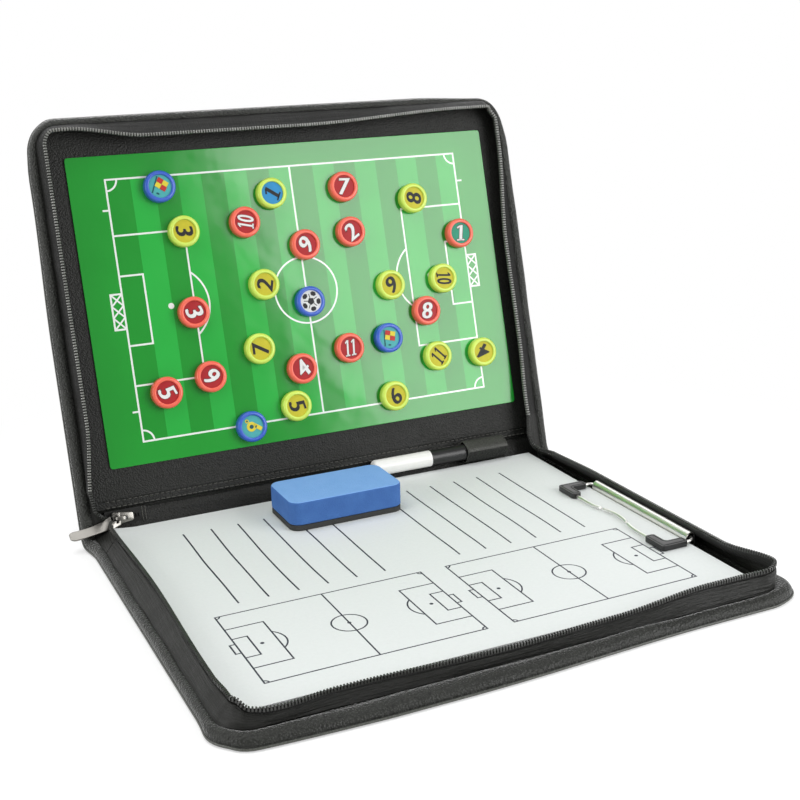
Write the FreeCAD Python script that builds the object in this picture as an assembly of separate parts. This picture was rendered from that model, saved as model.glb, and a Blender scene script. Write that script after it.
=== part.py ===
import FreeCAD, Part
import math
import os

from FreeCAD import Vector

os.makedirs("parts", exist_ok=True)

# Millimetres. +X is right, +Y runs back to the folds, +Z is up.
# The origin is the centre of the base's underside.

# Writing pad on the base; the folder is cut to hold it.
pad_width = 297.0
pad_left_gap = 17.5
pad_right_gap = 21.5
pad_front_gap = 17.0
pad_back_gap = 1.5
card_thickness = 0.8
pad_thickness = 5.0

# Pitch board on the lid, with the lid's margins round it.
board_height = 193.0
board_thickness = 1.3
board_setback = 19.0
board_top_gap = 28.0
board_side_gap = 23.5
board_corner = 2.0

# Cover panels: base and lid share one outline.
corner_radius = 22.0
skin_thickness = 1.2
stiffener_thickness = 2.2
lining_thickness = 0.8
rim_width = 14.0
rim_round = 2.4
rim_fit = 0.3

# Folds of the soft spine: base to lower slat, slat to slat, upper slat to lid.
slat_pitch = 24.6
lid_angle = 74.4
skin_setback = 0.8
fold_clearance = 0.08
rim_setback = 4.0
lining_setback = 6.0
slat_lining_thickness = 2.0
slat_lining_inset = 15.0

# Zip rows that stand on the rims.
zip_inset = 12.5
zip_setback = 9.0
tape_thickness = 1.2
tape_top = 13.6
teeth_thickness = 2.6
teeth_height = 3.4

# Magnet tokens: place as a share of the board's width from its middle, and of its height from its bottom.
token_radius = 10.0
token_height = 6.0
token_rim = 2.5
token_dish = 1.4
token_insert_gap = 0.05
token_round = 1.2
token_places = {
    "token_red_1": (0.4044, 0.6339),
    "token_red_2": (0.1240, 0.6782),
    "token_red_3": (-0.2715, 0.4670),
    "token_red_4": (-0.0404, 0.2335),
    "token_red_5": (-0.3569, 0.2193),
    "token_red_6": (-0.2544, 0.2503),
    "token_red_7": (0.1211, 0.8344),
    "token_red_8": (0.2892, 0.3739),
    "token_red_9": (0.0085, 0.6501),
    "token_red_10": (-0.1263, 0.7447),
    "token_red_11": (0.0813, 0.2806),
    "token_yellow_1": (-0.0546, 0.8330),
    "token_yellow_2": (-0.1021, 0.5313),
    "token_yellow_3": (-0.2677, 0.7333),
    "token_yellow_4": (0.4234, 0.1994),
    "token_yellow_5": (-0.0665, 0.1110),
    "token_yellow_6": (0.1776, 0.0920),
    "token_yellow_7": (-0.1337, 0.3196),
    "token_yellow_8": (0.2938, 0.7736),
    "token_yellow_9": (0.2063, 0.4792),
    "token_yellow_10": (0.3439, 0.4806),
    "token_yellow_11": (0.3027, 0.2090),
    "token_blue_ball": (0.0012, 0.4563),
    "token_blue_flag_left": (-0.3069, 0.8849),
    "token_blue_flag_right": (0.1822, 0.2965),
    "token_blue_whistle": (-0.1780, 0.0660),
}

# Spring clip at the right edge of the pad.
clip_side_gap = 3.9
clip_middle_y = 7.0
clip_barrel_length = 98.0
clip_barrel_radius = 3.3
clip_sheet = 0.7
clip_lift = 0.5
wire_radius = 1.0
bail_reach = 21.9
bail_overhang = 4.0
bail_bend = 4.0
bail_inside = 24.0
wave_depth = 4.5
wave_half = 26.0
tip_width = 6.6
tip_leg = 15.0
tip_height = 3.3
tip_gap = 0.3
tip_round = 2.0

# Eraser standing on the pad.
eraser_x = -15.5
eraser_overhang = 3.5
eraser_length = 75.0
eraser_depth = 42.0
foam_height = 15.0
felt_height = 3.5
eraser_corner = 7.0
foam_round = 1.2

# Marker in its loop on the upper slat.
pen_side_gap = 48.0
pen_cap_length = 50.0
pen_barrel_length = 42.5
pen_radius = 5.5
pen_end_round = 2.0
pen_neck_radius = 3.9
pen_neck_length = 18.0
nib_radius = 2.0
nib_length = 7.0
nib_round = 0.9
cap_clearance = 0.3
cap_end_wall = 4.0
cap_shoulder_gap = 0.2
loop_overhang = 7.5
loop_length = 31.0
loop_clearance = 0.3
loop_wall = 1.1
loop_up_slat = 15.3
loop_foot_width = 11.0

# Zip end, slider and pull on the left end of the upper slat.
zip_end_side_gap = 16.0
zip_end_length = 26.0
zip_end_width = 10.0
zip_end_up_slat = 13.3
zip_end_tape = 0.8
zip_end_teeth_width = 3.6
zip_end_teeth_height = 1.8
zip_end_teeth_margin = 2.0
slider_start = 4.0
slider_length = 13.0
slider_width = 8.4
slider_plate = 1.4
slider_gap = 0.4
bridge_width = 2.4
bridge_start = 1.0
bridge_length = 8.0
bridge_height = 3.8
bridge_wall = 1.4
pull_length = 32.0
pull_width = 8.0
pull_thickness = 1.2
pull_pin_radius = 0.7
pull_pin_offset = 3.4
pull_pin_height = 1.2
pull_window = 5.9
pull_side_gap = 0.7
pull_end_round = 3.0

# Sizes, heights and places that follow from the sizes above.
cover_width = pad_left_gap + pad_width + pad_right_gap
panel_depth = board_setback + board_height + board_top_gap
board_width = cover_width - 2.0 * board_side_gap
rim_top = skin_thickness + stiffener_thickness + lining_thickness
fold_y = panel_depth / 2.0
fold_z = skin_thickness / 2.0
pad_top = rim_top + card_thickness + pad_thickness
board_face = rim_top + board_thickness
slat_face = skin_thickness + slat_lining_thickness
cut_margin = 1.0
tolerance = 0.01

X_AXIS = Vector(1, 0, 0)
Z_AXIS = Vector(0, 0, 1)


def save(shape, name):
    """Write one piece to its own file."""
    shape.exportStep("parts/" + name + ".step")


def box(x0, x1, y0, y1, z0, z1):
    """Block between two opposite corners."""
    return Part.makeBox(x1 - x0, y1 - y0, z1 - z0, Vector(x0, y0, z0))


def upright_edges(shape):
    """Straight edges that run along Z."""
    return [e for e in shape.Edges if abs(e.tangentAt(e.FirstParameter).z) > 1.0 - tolerance]


def rounded_block(length, depth, height, radius, place):
    """Upright block with round vertical edges, centred over a place."""
    block = Part.makeBox(length, depth, height, place - Vector(length / 2.0, depth / 2.0, 0))
    return block.makeFillet(radius, upright_edges(block))


def panel_face(inset, start, height):
    """Panel outline drawn in from the edge; +Y runs from the fold to the free edge."""
    half = cover_width / 2.0 - inset
    far = panel_depth - inset
    radius = corner_radius - inset
    slant = radius * (1.0 - math.sqrt(0.5))
    left_low = Vector(-half, start, height)
    left_high = Vector(-half, far - radius, height)
    left_turn = Vector(-half + slant, far - slant, height)
    top_left = Vector(-half + radius, far, height)
    top_right = Vector(half - radius, far, height)
    right_turn = Vector(half - slant, far - slant, height)
    right_high = Vector(half, far - radius, height)
    right_low = Vector(half, start, height)
    edges = [
        Part.makeLine(left_low, left_high),
        Part.Arc(left_high, left_turn, top_left).toShape(),
        Part.makeLine(top_left, top_right),
        Part.Arc(top_right, right_turn, right_high).toShape(),
        Part.makeLine(right_high, right_low),
        Part.makeLine(right_low, left_low),
    ]
    return Part.Face(Part.Wire(edges))


def panel_plate(inset, start, low, high):
    """Flat plate of the panel outline."""
    return panel_face(inset, start, low).extrude(Vector(0, 0, high - low))


def panel_wall(inset, thickness, start, low, high):
    """Wall along three sides of the panel, open at the fold."""
    outer = panel_plate(inset, start, low, high)
    inner = panel_plate(inset + thickness, start - cut_margin, low - cut_margin, high + cut_margin)
    return outer.cut(inner)


def fold_bar(radius, along):
    """Round bar on the axis of a fold."""
    return Part.makeCylinder(radius, cover_width, Vector(-cover_width / 2.0, along, fold_z), X_AXIS)


def panel_cover():
    """Leatherette cover: a skin with a rolled fold edge and a padded rim along its free edges."""
    skin = panel_plate(0.0, 0.0, 0.0, skin_thickness).fuse(fold_bar(fold_z, 0.0))
    rim = panel_wall(0.0, rim_width, rim_setback, 0.0, rim_top)
    middle_line = panel_face(rim_width / 2.0, rim_setback - cut_margin, rim_top)
    outside_edges = []
    for edge in rim.Edges:
        middle = edge.valueAt((edge.FirstParameter + edge.LastParameter) / 2.0)
        at_top = abs(middle.z - rim_top) < tolerance
        at_end = abs(middle.y - rim_setback) < tolerance
        if at_top and not at_end and not middle_line.isInside(middle, tolerance, True):
            outside_edges.append(edge)
    rim = rim.makeFillet(rim_round, outside_edges)
    return skin.fuse(rim).removeSplitter()


def panel_stiffener():
    """Board inside the cover."""
    low = skin_thickness
    return panel_plate(rim_width + rim_fit, lining_setback, low, low + stiffener_thickness)


def panel_lining():
    """Inner lining over the board."""
    low = skin_thickness + stiffener_thickness
    return panel_plate(rim_width + rim_fit, lining_setback, low, low + lining_thickness)


def panel_tape():
    """Zip tape standing on the rim."""
    return panel_wall(zip_inset - tape_thickness / 2.0, tape_thickness, zip_setback, rim_top, tape_top)


def panel_teeth():
    """Row of teeth along the top of the tape."""
    inset = zip_inset - teeth_thickness / 2.0
    return panel_wall(inset, teeth_thickness, zip_setback, tape_top, tape_top + teeth_height)


def on_base(shape):
    """Turn a panel about its fold so that it runs forwards from the rear edge."""
    placed = shape.copy()
    placed.rotate(Vector(0, 0, 0), Z_AXIS, 180)
    placed.translate(Vector(0, fold_y, 0))
    return placed


def on_upper_slat(shape):
    """Lean a shape drawn flat behind the middle fold."""
    placed = shape.copy()
    placed.rotate(Vector(0, 0, fold_z), X_AXIS, lid_angle)
    placed.translate(Vector(0, fold_y + slat_pitch, 0))
    return placed


def on_lid(shape):
    """Lean a panel drawn flat behind the lid fold."""
    placed = shape.copy()
    placed.translate(Vector(0, slat_pitch, 0))
    return on_upper_slat(placed)


def slat_cover(far_edge_rolled):
    """Leatherette strip between two folds; an edge is rolled, or grooved to turn round a rolled one."""
    half = cover_width / 2.0
    inner_end = slat_pitch if far_edge_rolled else slat_pitch - skin_setback
    outside = box(-half, half, 0.0, slat_pitch, 0.0, fold_z)
    inside = box(-half, half, skin_setback, inner_end, fold_z, skin_thickness)
    strip = outside.fuse(inside).cut(fold_bar(fold_z + fold_clearance, 0.0))
    if far_edge_rolled:
        strip = strip.fuse(fold_bar(fold_z, slat_pitch))
    else:
        strip = strip.cut(fold_bar(fold_z + fold_clearance, slat_pitch))
    return strip.removeSplitter()


def slat_lining():
    """Padded lining of the strip."""
    half = cover_width / 2.0 - slat_lining_inset
    return box(-half, half, lining_setback, slat_pitch - lining_setback, skin_thickness, slat_face)


def round_bar(start_x, end_x, radius, y, z):
    """Cylinder along X."""
    return Part.makeCylinder(radius, end_x - start_x, Vector(start_x, y, z), X_AXIS)


# Base panel
save(on_base(panel_cover()), "base_cover")
save(on_base(panel_stiffener()), "base_stiffener")
save(on_base(panel_lining()), "base_lining")
save(on_base(panel_tape()), "base_zip_tape")
save(on_base(panel_teeth()), "base_zip_teeth")

# Writing pad and its backing card
pad_left = -cover_width / 2.0 + pad_left_gap
pad_right = pad_left + pad_width
pad_front = -fold_y + pad_front_gap
pad_back = fold_y - pad_back_gap
card_top = rim_top + card_thickness
save(box(pad_left, pad_right, pad_front, pad_back, rim_top, card_top), "pad_backing_card")
save(box(pad_left, pad_right, pad_front, pad_back, card_top, pad_top), "pad_sheets")

# Spine slats
lower_slat_cover = slat_cover(True)
lower_slat_cover.translate(Vector(0, fold_y, 0))
save(lower_slat_cover, "spine_lower_cover")
lower_slat_lining = slat_lining()
lower_slat_lining.translate(Vector(0, fold_y, 0))
save(lower_slat_lining, "spine_lower_lining")
save(on_upper_slat(slat_cover(False)), "spine_upper_cover")
save(on_upper_slat(slat_lining()), "spine_upper_lining")

# Lid panel
save(on_lid(panel_cover()), "lid_cover")
save(on_lid(panel_stiffener()), "lid_stiffener")
save(on_lid(panel_lining()), "lid_lining")
save(on_lid(panel_tape()), "lid_zip_tape")
save(on_lid(panel_teeth()), "lid_zip_teeth")

# Pitch board
board_place = Vector(0, board_setback + board_height / 2.0, rim_top)
save(on_lid(rounded_block(board_width, board_height, board_thickness, board_corner, board_place)),
     "pitch_board")


def token(across, up):
    """Turned cap with a raised rim, and the printed disc lying in its dish."""
    foot = Vector(across, board_setback + up, board_face)
    cap = Part.makeCylinder(token_radius, token_height, foot)
    top_edge = [e for e in cap.Edges if abs(e.BoundBox.ZMin - foot.z - token_height) < tolerance]
    cap = cap.makeFillet(token_round, top_edge)
    dish_radius = token_radius - token_rim
    floor = foot + Vector(0, 0, token_height - token_dish)
    cap = cap.cut(Part.makeCylinder(dish_radius, token_dish + cut_margin, floor))
    disc = Part.makeCylinder(dish_radius - token_insert_gap, token_dish / 2.0, floor)
    return Part.makeCompound([cap, disc])


for token_name, (width_share, height_share) in token_places.items():
    save(on_lid(token(width_share * board_width, height_share * board_height)), token_name)

# Spring clip: folded sheet barrel, wire bail and two corner tips
clip_x = pad_right + clip_side_gap
wire_z = pad_top + wire_radius + clip_lift
barrel_front = clip_middle_y - clip_barrel_length / 2.0
barrel_back = clip_middle_y + clip_barrel_length / 2.0


def barrel_block(radius, front, back, foot):
    """Round-topped block along Y."""
    legs = box(clip_x - radius, clip_x + radius, front, back, foot, wire_z)
    roof = Part.makeCylinder(radius, back - front, Vector(clip_x, front, wire_z), Vector(0, 1, 0))
    return legs.fuse(roof)


barrel_outside = barrel_block(clip_barrel_radius, barrel_front, barrel_back, rim_top)
barrel_inside = barrel_block(clip_barrel_radius - clip_sheet, barrel_front - cut_margin,
                             barrel_back + cut_margin, rim_top - cut_margin)
save(barrel_outside.cut(barrel_inside).removeSplitter(), "clip_barrel")

arm_back = barrel_back + bail_overhang
arm_front = barrel_front - bail_overhang
bail_x = clip_x - bail_reach


def bail_point(x, y):
    """Point on the wire's middle line."""
    return Vector(x, y, wire_z)


def corner_arc(corner_x, corner_y, step_x, step_y):
    """Quarter bend inside a corner; the steps point from the corner along its two legs."""
    centre_x = corner_x + step_x * bail_bend
    centre_y = corner_y + step_y * bail_bend
    slant = bail_bend * math.sqrt(0.5)
    on_y_leg = bail_point(corner_x, centre_y)
    middle = bail_point(centre_x - step_x * slant, centre_y - step_y * slant)
    on_x_leg = bail_point(centre_x, corner_y)
    return on_y_leg, middle, on_x_leg


def bail_half(arm_y, inward):
    """Edges of half the bail, from inside the barrel to the middle of the wave."""
    hidden_end = bail_point(clip_x, arm_y + inward * (bail_overhang + bail_inside))
    outer_start, outer_middle, outer_end = corner_arc(clip_x, arm_y, -1, inward)
    inner_end, inner_middle, inner_start = corner_arc(bail_x, arm_y, 1, inward)
    wave_start = bail_point(bail_x, clip_middle_y - inward * wave_half)
    wave_top = bail_point(bail_x + wave_depth, clip_middle_y)
    along = Vector(0, inward, 0)
    wave = Part.BSplineCurve()
    wave.interpolate([wave_start, wave_top], InitialTangent=along * wave_half,
                     FinalTangent=along * wave_half)
    return [
        Part.makeLine(hidden_end, outer_start),
        Part.Arc(outer_start, outer_middle, outer_end).toShape(),
        Part.makeLine(outer_end, inner_start),
        Part.Arc(inner_start, inner_middle, inner_end).toShape(),
        Part.makeLine(inner_end, wave_start),
        wave.toShape(),
    ]


def bail_wire(arm_y, inward):
    """Round wire along half the bail."""
    edges = bail_half(arm_y, inward)
    path = Part.Wire(edges)
    start = edges[0].Vertexes[0].Point
    ring = Part.makeCircle(wire_radius, start, Vector(0, inward, 0))
    return path.makePipeShell([Part.Wire(ring)], True, True)


wire_back = bail_wire(arm_back, -1)
wire_front = bail_wire(arm_front, 1)
bail = wire_back.fuse(wire_front)
save(bail, "clip_bail")


def corner_tip(arm_y, inward):
    """L-shaped moulded tip that sleeves one corner of the bail."""
    half = tip_width / 2.0
    low = pad_top + tip_gap
    legs = []
    for reach_x, reach_y in ((tip_leg, half), (half, tip_leg)):
        y_values = sorted((arm_y - inward * half, arm_y + inward * reach_y))
        legs.append(box(bail_x - half, bail_x + reach_x, y_values[0], y_values[1], low, low + tip_height))
    block = legs[0].fuse(legs[1]).removeSplitter()
    return block.makeFillet(tip_round, upright_edges(block)).cut(bail)


save(corner_tip(arm_back, -1), "clip_tip_back")
save(corner_tip(arm_front, 1), "clip_tip_front")

# Eraser: felt under a foam block
eraser_y = pad_back + eraser_overhang - eraser_depth / 2.0
eraser_place = Vector(eraser_x, eraser_y, pad_top)
save(rounded_block(eraser_length, eraser_depth, felt_height, eraser_corner, eraser_place), "eraser_felt")
foam = rounded_block(eraser_length, eraser_depth, foam_height, eraser_corner,
                     eraser_place + Vector(0, 0, felt_height))
foam_top = pad_top + felt_height + foam_height
foam_edges = [e for e in foam.Edges if abs(e.BoundBox.ZMin - foam_top) < tolerance]
save(foam.makeFillet(foam_round, foam_edges), "eraser_foam")

# Marker, its cap and the loop that holds it
pen_z = slat_face + loop_wall + loop_clearance + pen_radius
pen_y = loop_up_slat
pen_end_x = cover_width / 2.0 - pen_side_gap
pen_cap_x = pen_end_x - pen_cap_length
pen_start_x = pen_cap_x - pen_barrel_length


def rounded_end(bar, end_x, radius):
    """Round the circular edge at one end of a bar."""
    ring = []
    for edge in bar.Edges:
        span = edge.BoundBox
        if abs(span.XMin - end_x) < tolerance and abs(span.XMax - end_x) < tolerance:
            ring.append(edge)
    return bar.makeFillet(radius, ring)


barrel = rounded_end(round_bar(pen_start_x, pen_cap_x, pen_radius, pen_y, pen_z), pen_start_x, pen_end_round)
neck_end = pen_cap_x + pen_neck_length
neck = round_bar(pen_cap_x, neck_end, pen_neck_radius, pen_y, pen_z)
save(on_upper_slat(barrel.fuse(neck)), "pen_barrel")
nib_end = neck_end + nib_length
nib = rounded_end(round_bar(neck_end, nib_end, nib_radius, pen_y, pen_z), nib_end, nib_round)
save(on_upper_slat(nib), "pen_nib")
cap_start = pen_cap_x + cap_shoulder_gap
cap = rounded_end(round_bar(cap_start, pen_end_x, pen_radius, pen_y, pen_z), pen_end_x, pen_end_round)
cap_hollow = round_bar(cap_start - cut_margin, pen_end_x - cap_end_wall, pen_neck_radius + cap_clearance,
                       pen_y, pen_z)
save(on_upper_slat(cap.cut(cap_hollow)), "pen_cap")

loop_end_x = pen_end_x + loop_overhang
loop_start_x = loop_end_x - loop_length
loop_inside = pen_radius + loop_clearance
loop_tube = round_bar(loop_start_x, loop_end_x, loop_inside + loop_wall, pen_y, pen_z)
loop_foot_high = slat_pitch - lining_setback
loop_foot = box(loop_start_x, loop_end_x, loop_foot_high - loop_foot_width, loop_foot_high, slat_face,
                slat_face + loop_wall)
loop_hole = round_bar(loop_start_x - cut_margin, loop_end_x + cut_margin, loop_inside, pen_y, pen_z)
save(on_upper_slat(loop_tube.fuse(loop_foot).cut(loop_hole).removeSplitter()), "pen_loop")

# Closed end of the zip, its slider and the pull
zip_y = zip_end_up_slat
zip_end_start_x = -cover_width / 2.0 + zip_end_side_gap
zip_end_stop_x = zip_end_start_x + zip_end_length
tape_face = slat_face + zip_end_tape
save(on_upper_slat(box(zip_end_start_x, zip_end_stop_x, zip_y - zip_end_width / 2.0,
                       zip_y + zip_end_width / 2.0, slat_face, tape_face)), "zip_end_tape")
teeth_face = tape_face + zip_end_teeth_height
save(on_upper_slat(box(zip_end_start_x + zip_end_teeth_margin, zip_end_stop_x - zip_end_teeth_margin,
                       zip_y - zip_end_teeth_width / 2.0, zip_y + zip_end_teeth_width / 2.0,
                       tape_face, teeth_face)), "zip_end_teeth")

slider_start_x = zip_end_start_x + slider_start
slider_stop_x = slider_start_x + slider_length
slider_low = tape_face + slider_gap
slider_roof = teeth_face + slider_gap
slider_top = slider_roof + slider_plate
channel_half = zip_end_teeth_width / 2.0 + slider_gap
slider = box(slider_start_x, slider_stop_x, zip_y - slider_width / 2.0, zip_y + slider_width / 2.0,
             slider_low, slider_top)
slider = slider.cut(box(slider_start_x - cut_margin, slider_stop_x + cut_margin, zip_y - channel_half,
                        zip_y + channel_half, slider_low - cut_margin, slider_roof))
bridge_x = slider_start_x + bridge_start
bridge = box(bridge_x, bridge_x + bridge_length, zip_y - bridge_width / 2.0, zip_y + bridge_width / 2.0,
             slider_top, slider_top + bridge_height)
bridge = bridge.cut(box(bridge_x + bridge_wall, bridge_x + bridge_length - bridge_wall,
                        zip_y - bridge_width, zip_y + bridge_width,
                        slider_top, slider_top + bridge_height - bridge_wall))
save(on_upper_slat(slider.fuse(bridge).removeSplitter()), "zip_slider")

pin_x = bridge_x + pull_pin_offset
pin_z = slider_top + pull_pin_height
pull_low = pin_z - pull_thickness / 2.0
pull_high = pin_z + pull_thickness / 2.0
pull_half = pull_width / 2.0
pull = box(pin_x - pull_length, pin_x, zip_y - pull_half, zip_y + pull_half, pull_low, pull_high)
pull_ends = [e for e in pull.Edges
             if e.BoundBox.ZLength > pull_thickness / 2.0 and e.BoundBox.XMax < pin_x - pull_length / 2.0]
pull = pull.makeFillet(pull_end_round, pull_ends)
window_half = bridge_width / 2.0 + pull_side_gap
pull = pull.cut(box(pin_x - pull_window, pin_x + cut_margin, zip_y - window_half, zip_y + window_half,
                    pull_low - cut_margin, pull_high + cut_margin))
pin = Part.makeCylinder(pull_pin_radius, pull_width, Vector(pin_x, zip_y - pull_half, pin_z), Vector(0, 1, 0))
save(on_upper_slat(pull.fuse(pin).removeSplitter()), "zip_pull")
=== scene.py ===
# %% [markdown]
# # A coaching folder with a pitch board
# The folder stands open like a laptop: a base with a writing pad, a soft spine, and a lid with a
# glossy pitch board and its round tokens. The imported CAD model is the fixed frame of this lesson.
# Hard pieces that already look right only get a finish. Soft pieces are modelled over their solids.

# %% Load the frame
import math

import bmesh
import bpy
from mathutils import Matrix, Vector


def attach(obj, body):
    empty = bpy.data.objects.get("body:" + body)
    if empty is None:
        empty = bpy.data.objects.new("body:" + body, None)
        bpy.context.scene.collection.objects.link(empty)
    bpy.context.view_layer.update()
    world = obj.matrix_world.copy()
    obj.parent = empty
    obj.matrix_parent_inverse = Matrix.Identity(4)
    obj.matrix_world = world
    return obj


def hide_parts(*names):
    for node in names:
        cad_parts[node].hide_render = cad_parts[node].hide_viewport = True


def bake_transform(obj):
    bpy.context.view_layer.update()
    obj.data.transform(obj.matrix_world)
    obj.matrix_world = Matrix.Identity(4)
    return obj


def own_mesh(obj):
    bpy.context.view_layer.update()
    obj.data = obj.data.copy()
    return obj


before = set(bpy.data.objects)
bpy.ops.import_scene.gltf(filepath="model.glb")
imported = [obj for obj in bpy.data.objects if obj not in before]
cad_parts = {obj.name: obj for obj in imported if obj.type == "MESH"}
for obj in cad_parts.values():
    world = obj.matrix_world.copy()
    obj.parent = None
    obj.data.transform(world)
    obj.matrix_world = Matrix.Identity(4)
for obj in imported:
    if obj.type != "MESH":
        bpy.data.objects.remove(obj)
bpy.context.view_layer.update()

# %% [markdown]
# ## Places on the folder
# The base, the spine's upper strip and the lid each have their own flat grid: x across, a distance
# from the fold, and a height above the outer skin. Three small functions turn such a place into
# the shared frame, so every later step can speak in the folder's own millimetres.

# %% Folder grid
MM = 0.001
HALF, DEPTH, ROUND = 168.0, 240.0, 22.0
FOLD_Y, SLAT, SKIN_MID = 120.0, 24.6, 0.6
LEAN = math.radians(74.4)
UP_Y, UP_Z = math.cos(LEAN), math.sin(LEAN)


def on_base(x, r, n):
    """Place on the base: r runs forwards from the rear fold."""
    return Vector((x, FOLD_Y - r, n)) * MM


def on_slat(x, s, n):
    """Place on the upper strip of the spine: s runs up from the middle fold."""
    y = FOLD_Y + SLAT + s * UP_Y - (n - SKIN_MID) * UP_Z
    z = SKIN_MID + s * UP_Z + (n - SKIN_MID) * UP_Y
    return Vector((x, y, z)) * MM


def on_lid(x, r, n):
    """Place on the lid: r runs up from the lid's fold."""
    return on_slat(x, SLAT + r, n)


def frame_at(place):
    """Matrix that carries metres of a panel's grid into the shared frame."""
    zero = place(0.0, 0.0, 0.0)
    columns = [place(1.0, 0.0, 0.0) - zero, place(0.0, 1.0, 0.0) - zero, place(0.0, 0.0, 1.0) - zero]
    return Matrix.Translation(zero) @ Matrix([c / MM for c in columns]).transposed().to_4x4()


def upright(place):
    """Direction out of a panel's face."""
    return (place(0.0, 0.0, 1.0) - place(0.0, 0.0, 0.0)).normalized()


print("lid fold at", on_lid(0.0, 0.0, SKIN_MID))

# %% [markdown]
# ## Tools for modelling
# These few helpers do what the hands do in Blender: add a primitive, go in and out of edit mode,
# select by place, apply a modifier, join pieces. Everything is deselected first, because the
# loaded CAD nodes start out selected and an operator acts on all that is selected.

# %% Start, copy and join
def named(piece, name):
    """Name an object and its mesh."""
    piece.name = piece.data.name = name
    return piece


def focus(*pieces):
    """Select only these pieces; the first is active."""
    bpy.ops.object.select_all(action="DESELECT")
    for piece in pieces:
        piece.select_set(True)
    bpy.context.view_layer.objects.active = pieces[0]


def rest(piece):
    """Put the object's place into its mesh."""
    focus(piece)
    bpy.ops.object.transform_apply(location=True, rotation=True, scale=True)


def add(name, kind, **size):
    """Start a piece from a primitive."""
    bpy.ops.object.select_all(action="DESELECT")
    getattr(bpy.ops.mesh, "primitive_" + kind + "_add")(**size)
    return named(bpy.context.object, name)


def block(name, *spans, kind="cube"):
    """Start a piece from a cube, or a flat plane, that fills spans of x, y and z in mm."""
    piece = add(name, kind, size=1.0)
    piece.scale = [(high - low) * MM or 1.0 for low, high in spans]
    piece.location = [(low + high) / 2.0 * MM for low, high in spans]
    rest(piece)
    return piece


def copy_of(piece, name):
    """Copy with a mesh of its own."""
    twin = piece.copy()
    twin.data = piece.data.copy()
    bpy.context.collection.objects.link(twin)
    return named(twin, name)


def join(name, pieces):
    """One piece from several."""
    focus(*pieces)
    if len(pieces) > 1:
        bpy.ops.object.join()
    return named(pieces[0], name)


def lay(piece, matrix):
    """Carry a finished mesh to its place."""
    piece.data.transform(matrix)
    if matrix.determinant() < 0.0:
        piece.data.flip_normals()
    piece.data.update()


print("tools to start and place pieces")

# %% Work in edit mode
def edit(piece):
    """Go into edit mode."""
    focus(piece)
    bpy.ops.object.mode_set(mode="EDIT")


def leave():
    """Go back to object mode."""
    bpy.ops.object.mode_set(mode="OBJECT")


def everything():
    """Select the whole mesh."""
    bpy.ops.mesh.select_all(action="SELECT")


def pick(piece, kind, test):
    """Select the faces, edges or points that pass a test."""
    bpy.ops.mesh.select_mode(type=kind)
    bpy.ops.mesh.select_all(action="DESELECT")
    shape = bmesh.from_edit_mesh(piece.data)
    for part in {"FACE": shape.faces, "EDGE": shape.edges, "VERT": shape.verts}[kind]:
        if test(part):
            part.select_set(True)
    shape.select_flush_mode()
    bmesh.update_edit_mesh(piece.data)


def middle(edge):
    """Middle of an edge."""
    return (edge.verts[0].co + edge.verts[1].co) / 2.0


def climb(edge):
    """Height in mm between the ends of an edge."""
    return abs(edge.verts[0].co.z - edge.verts[1].co.z) / MM


def faces_up(face):
    return face.normal.z > 0.9


def draw_out(x, y, z):
    """Extrude the selection by a shift in mm."""
    bpy.ops.mesh.extrude_region_move(TRANSFORM_OT_translate={"value": (x * MM, y * MM, z * MM)})


def inset(width):
    """Inset the selected faces, in mm."""
    bpy.ops.mesh.inset(thickness=width * MM)


def bevel(width, segments, **how):
    """Bevel the selection, in mm."""
    bpy.ops.mesh.bevel(offset=width * MM, segments=segments, **how)


def outward(piece, close=False):
    """Point the faces outwards; a closed roll is first merged at its seam and capped."""
    edit(piece)
    everything()
    if close:
        bpy.ops.mesh.remove_doubles(threshold=1e-6)
        bpy.ops.mesh.fill_holes(sides=0)
    bpy.ops.mesh.normals_make_consistent(inside=False)
    leave()


print("tools for edit mode")

# %% Finish a mesh
def modify(piece, kind, **settings):
    """Add a modifier and apply it."""
    focus(piece)
    modifier = piece.modifiers.new(kind.title(), kind)
    for key, value in settings.items():
        setattr(modifier, key, value)
    bpy.ops.object.modifier_apply(modifier=modifier.name)


def thicken(piece, thickness):
    """Give a sheet its thickness in mm, half to each side."""
    modify(piece, "SOLIDIFY", thickness=thickness * MM, offset=0.0)


def soften(piece, width, segments=2, angle=30.0):
    """Round off every edge sharper than an angle."""
    modify(piece, "BEVEL", width=width * MM, segments=segments, limit_method="ANGLE",
           angle_limit=math.radians(angle))


def smooth(piece, angle):
    """Smooth shading up to an angle."""
    focus(piece)
    bpy.ops.object.shade_smooth_by_angle(angle=math.radians(angle))


def even_faces(piece):
    """Large flat faces keep their own direction when shading runs over a bevel."""
    modify(piece, "WEIGHTED_NORMAL", keep_sharp=True, weight=80)


def dress(piece, *finishes, rule=None):
    """Give a piece its finishes; rule(face) is the number of a face's finish."""
    piece.data.materials.clear()
    for finish in finishes:
        piece.data.materials.append(finish)
    if rule:
        for face in piece.data.polygons:
            face.material_index = int(rule(face))


def carry(piece, body, slot, *nodes):
    """Let a piece ride on a body and stand it in for CAD nodes; slot, the kind of finish, is not used."""
    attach(piece, body)
    if nodes:
        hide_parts(*nodes)


def loft(name, along, across, spot, cloth, close=False):
    """Grid laid out by a rule: spot(i, j) is a point, cloth(i, j) its place on the flat cloth in mm."""
    piece = add(name, "grid", x_subdivisions=along - 1, y_subdivisions=across - 1, size=1.0)
    shape = piece.data
    number = {}
    for vertex in shape.vertices:
        i = round((vertex.co.x + 0.5) * (along - 1))
        j = round((vertex.co.y + 0.5) * (across - 1))
        number[vertex.index] = (i, j)
        vertex.co = spot(i, j)
    flat = shape.uv_layers.active.data
    for loop in shape.loops:
        flat[loop.index].uv = cloth(*number[loop.vertex_index])
    if close:
        outward(piece, close=True)
    return piece


print("tools to finish a mesh")

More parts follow.
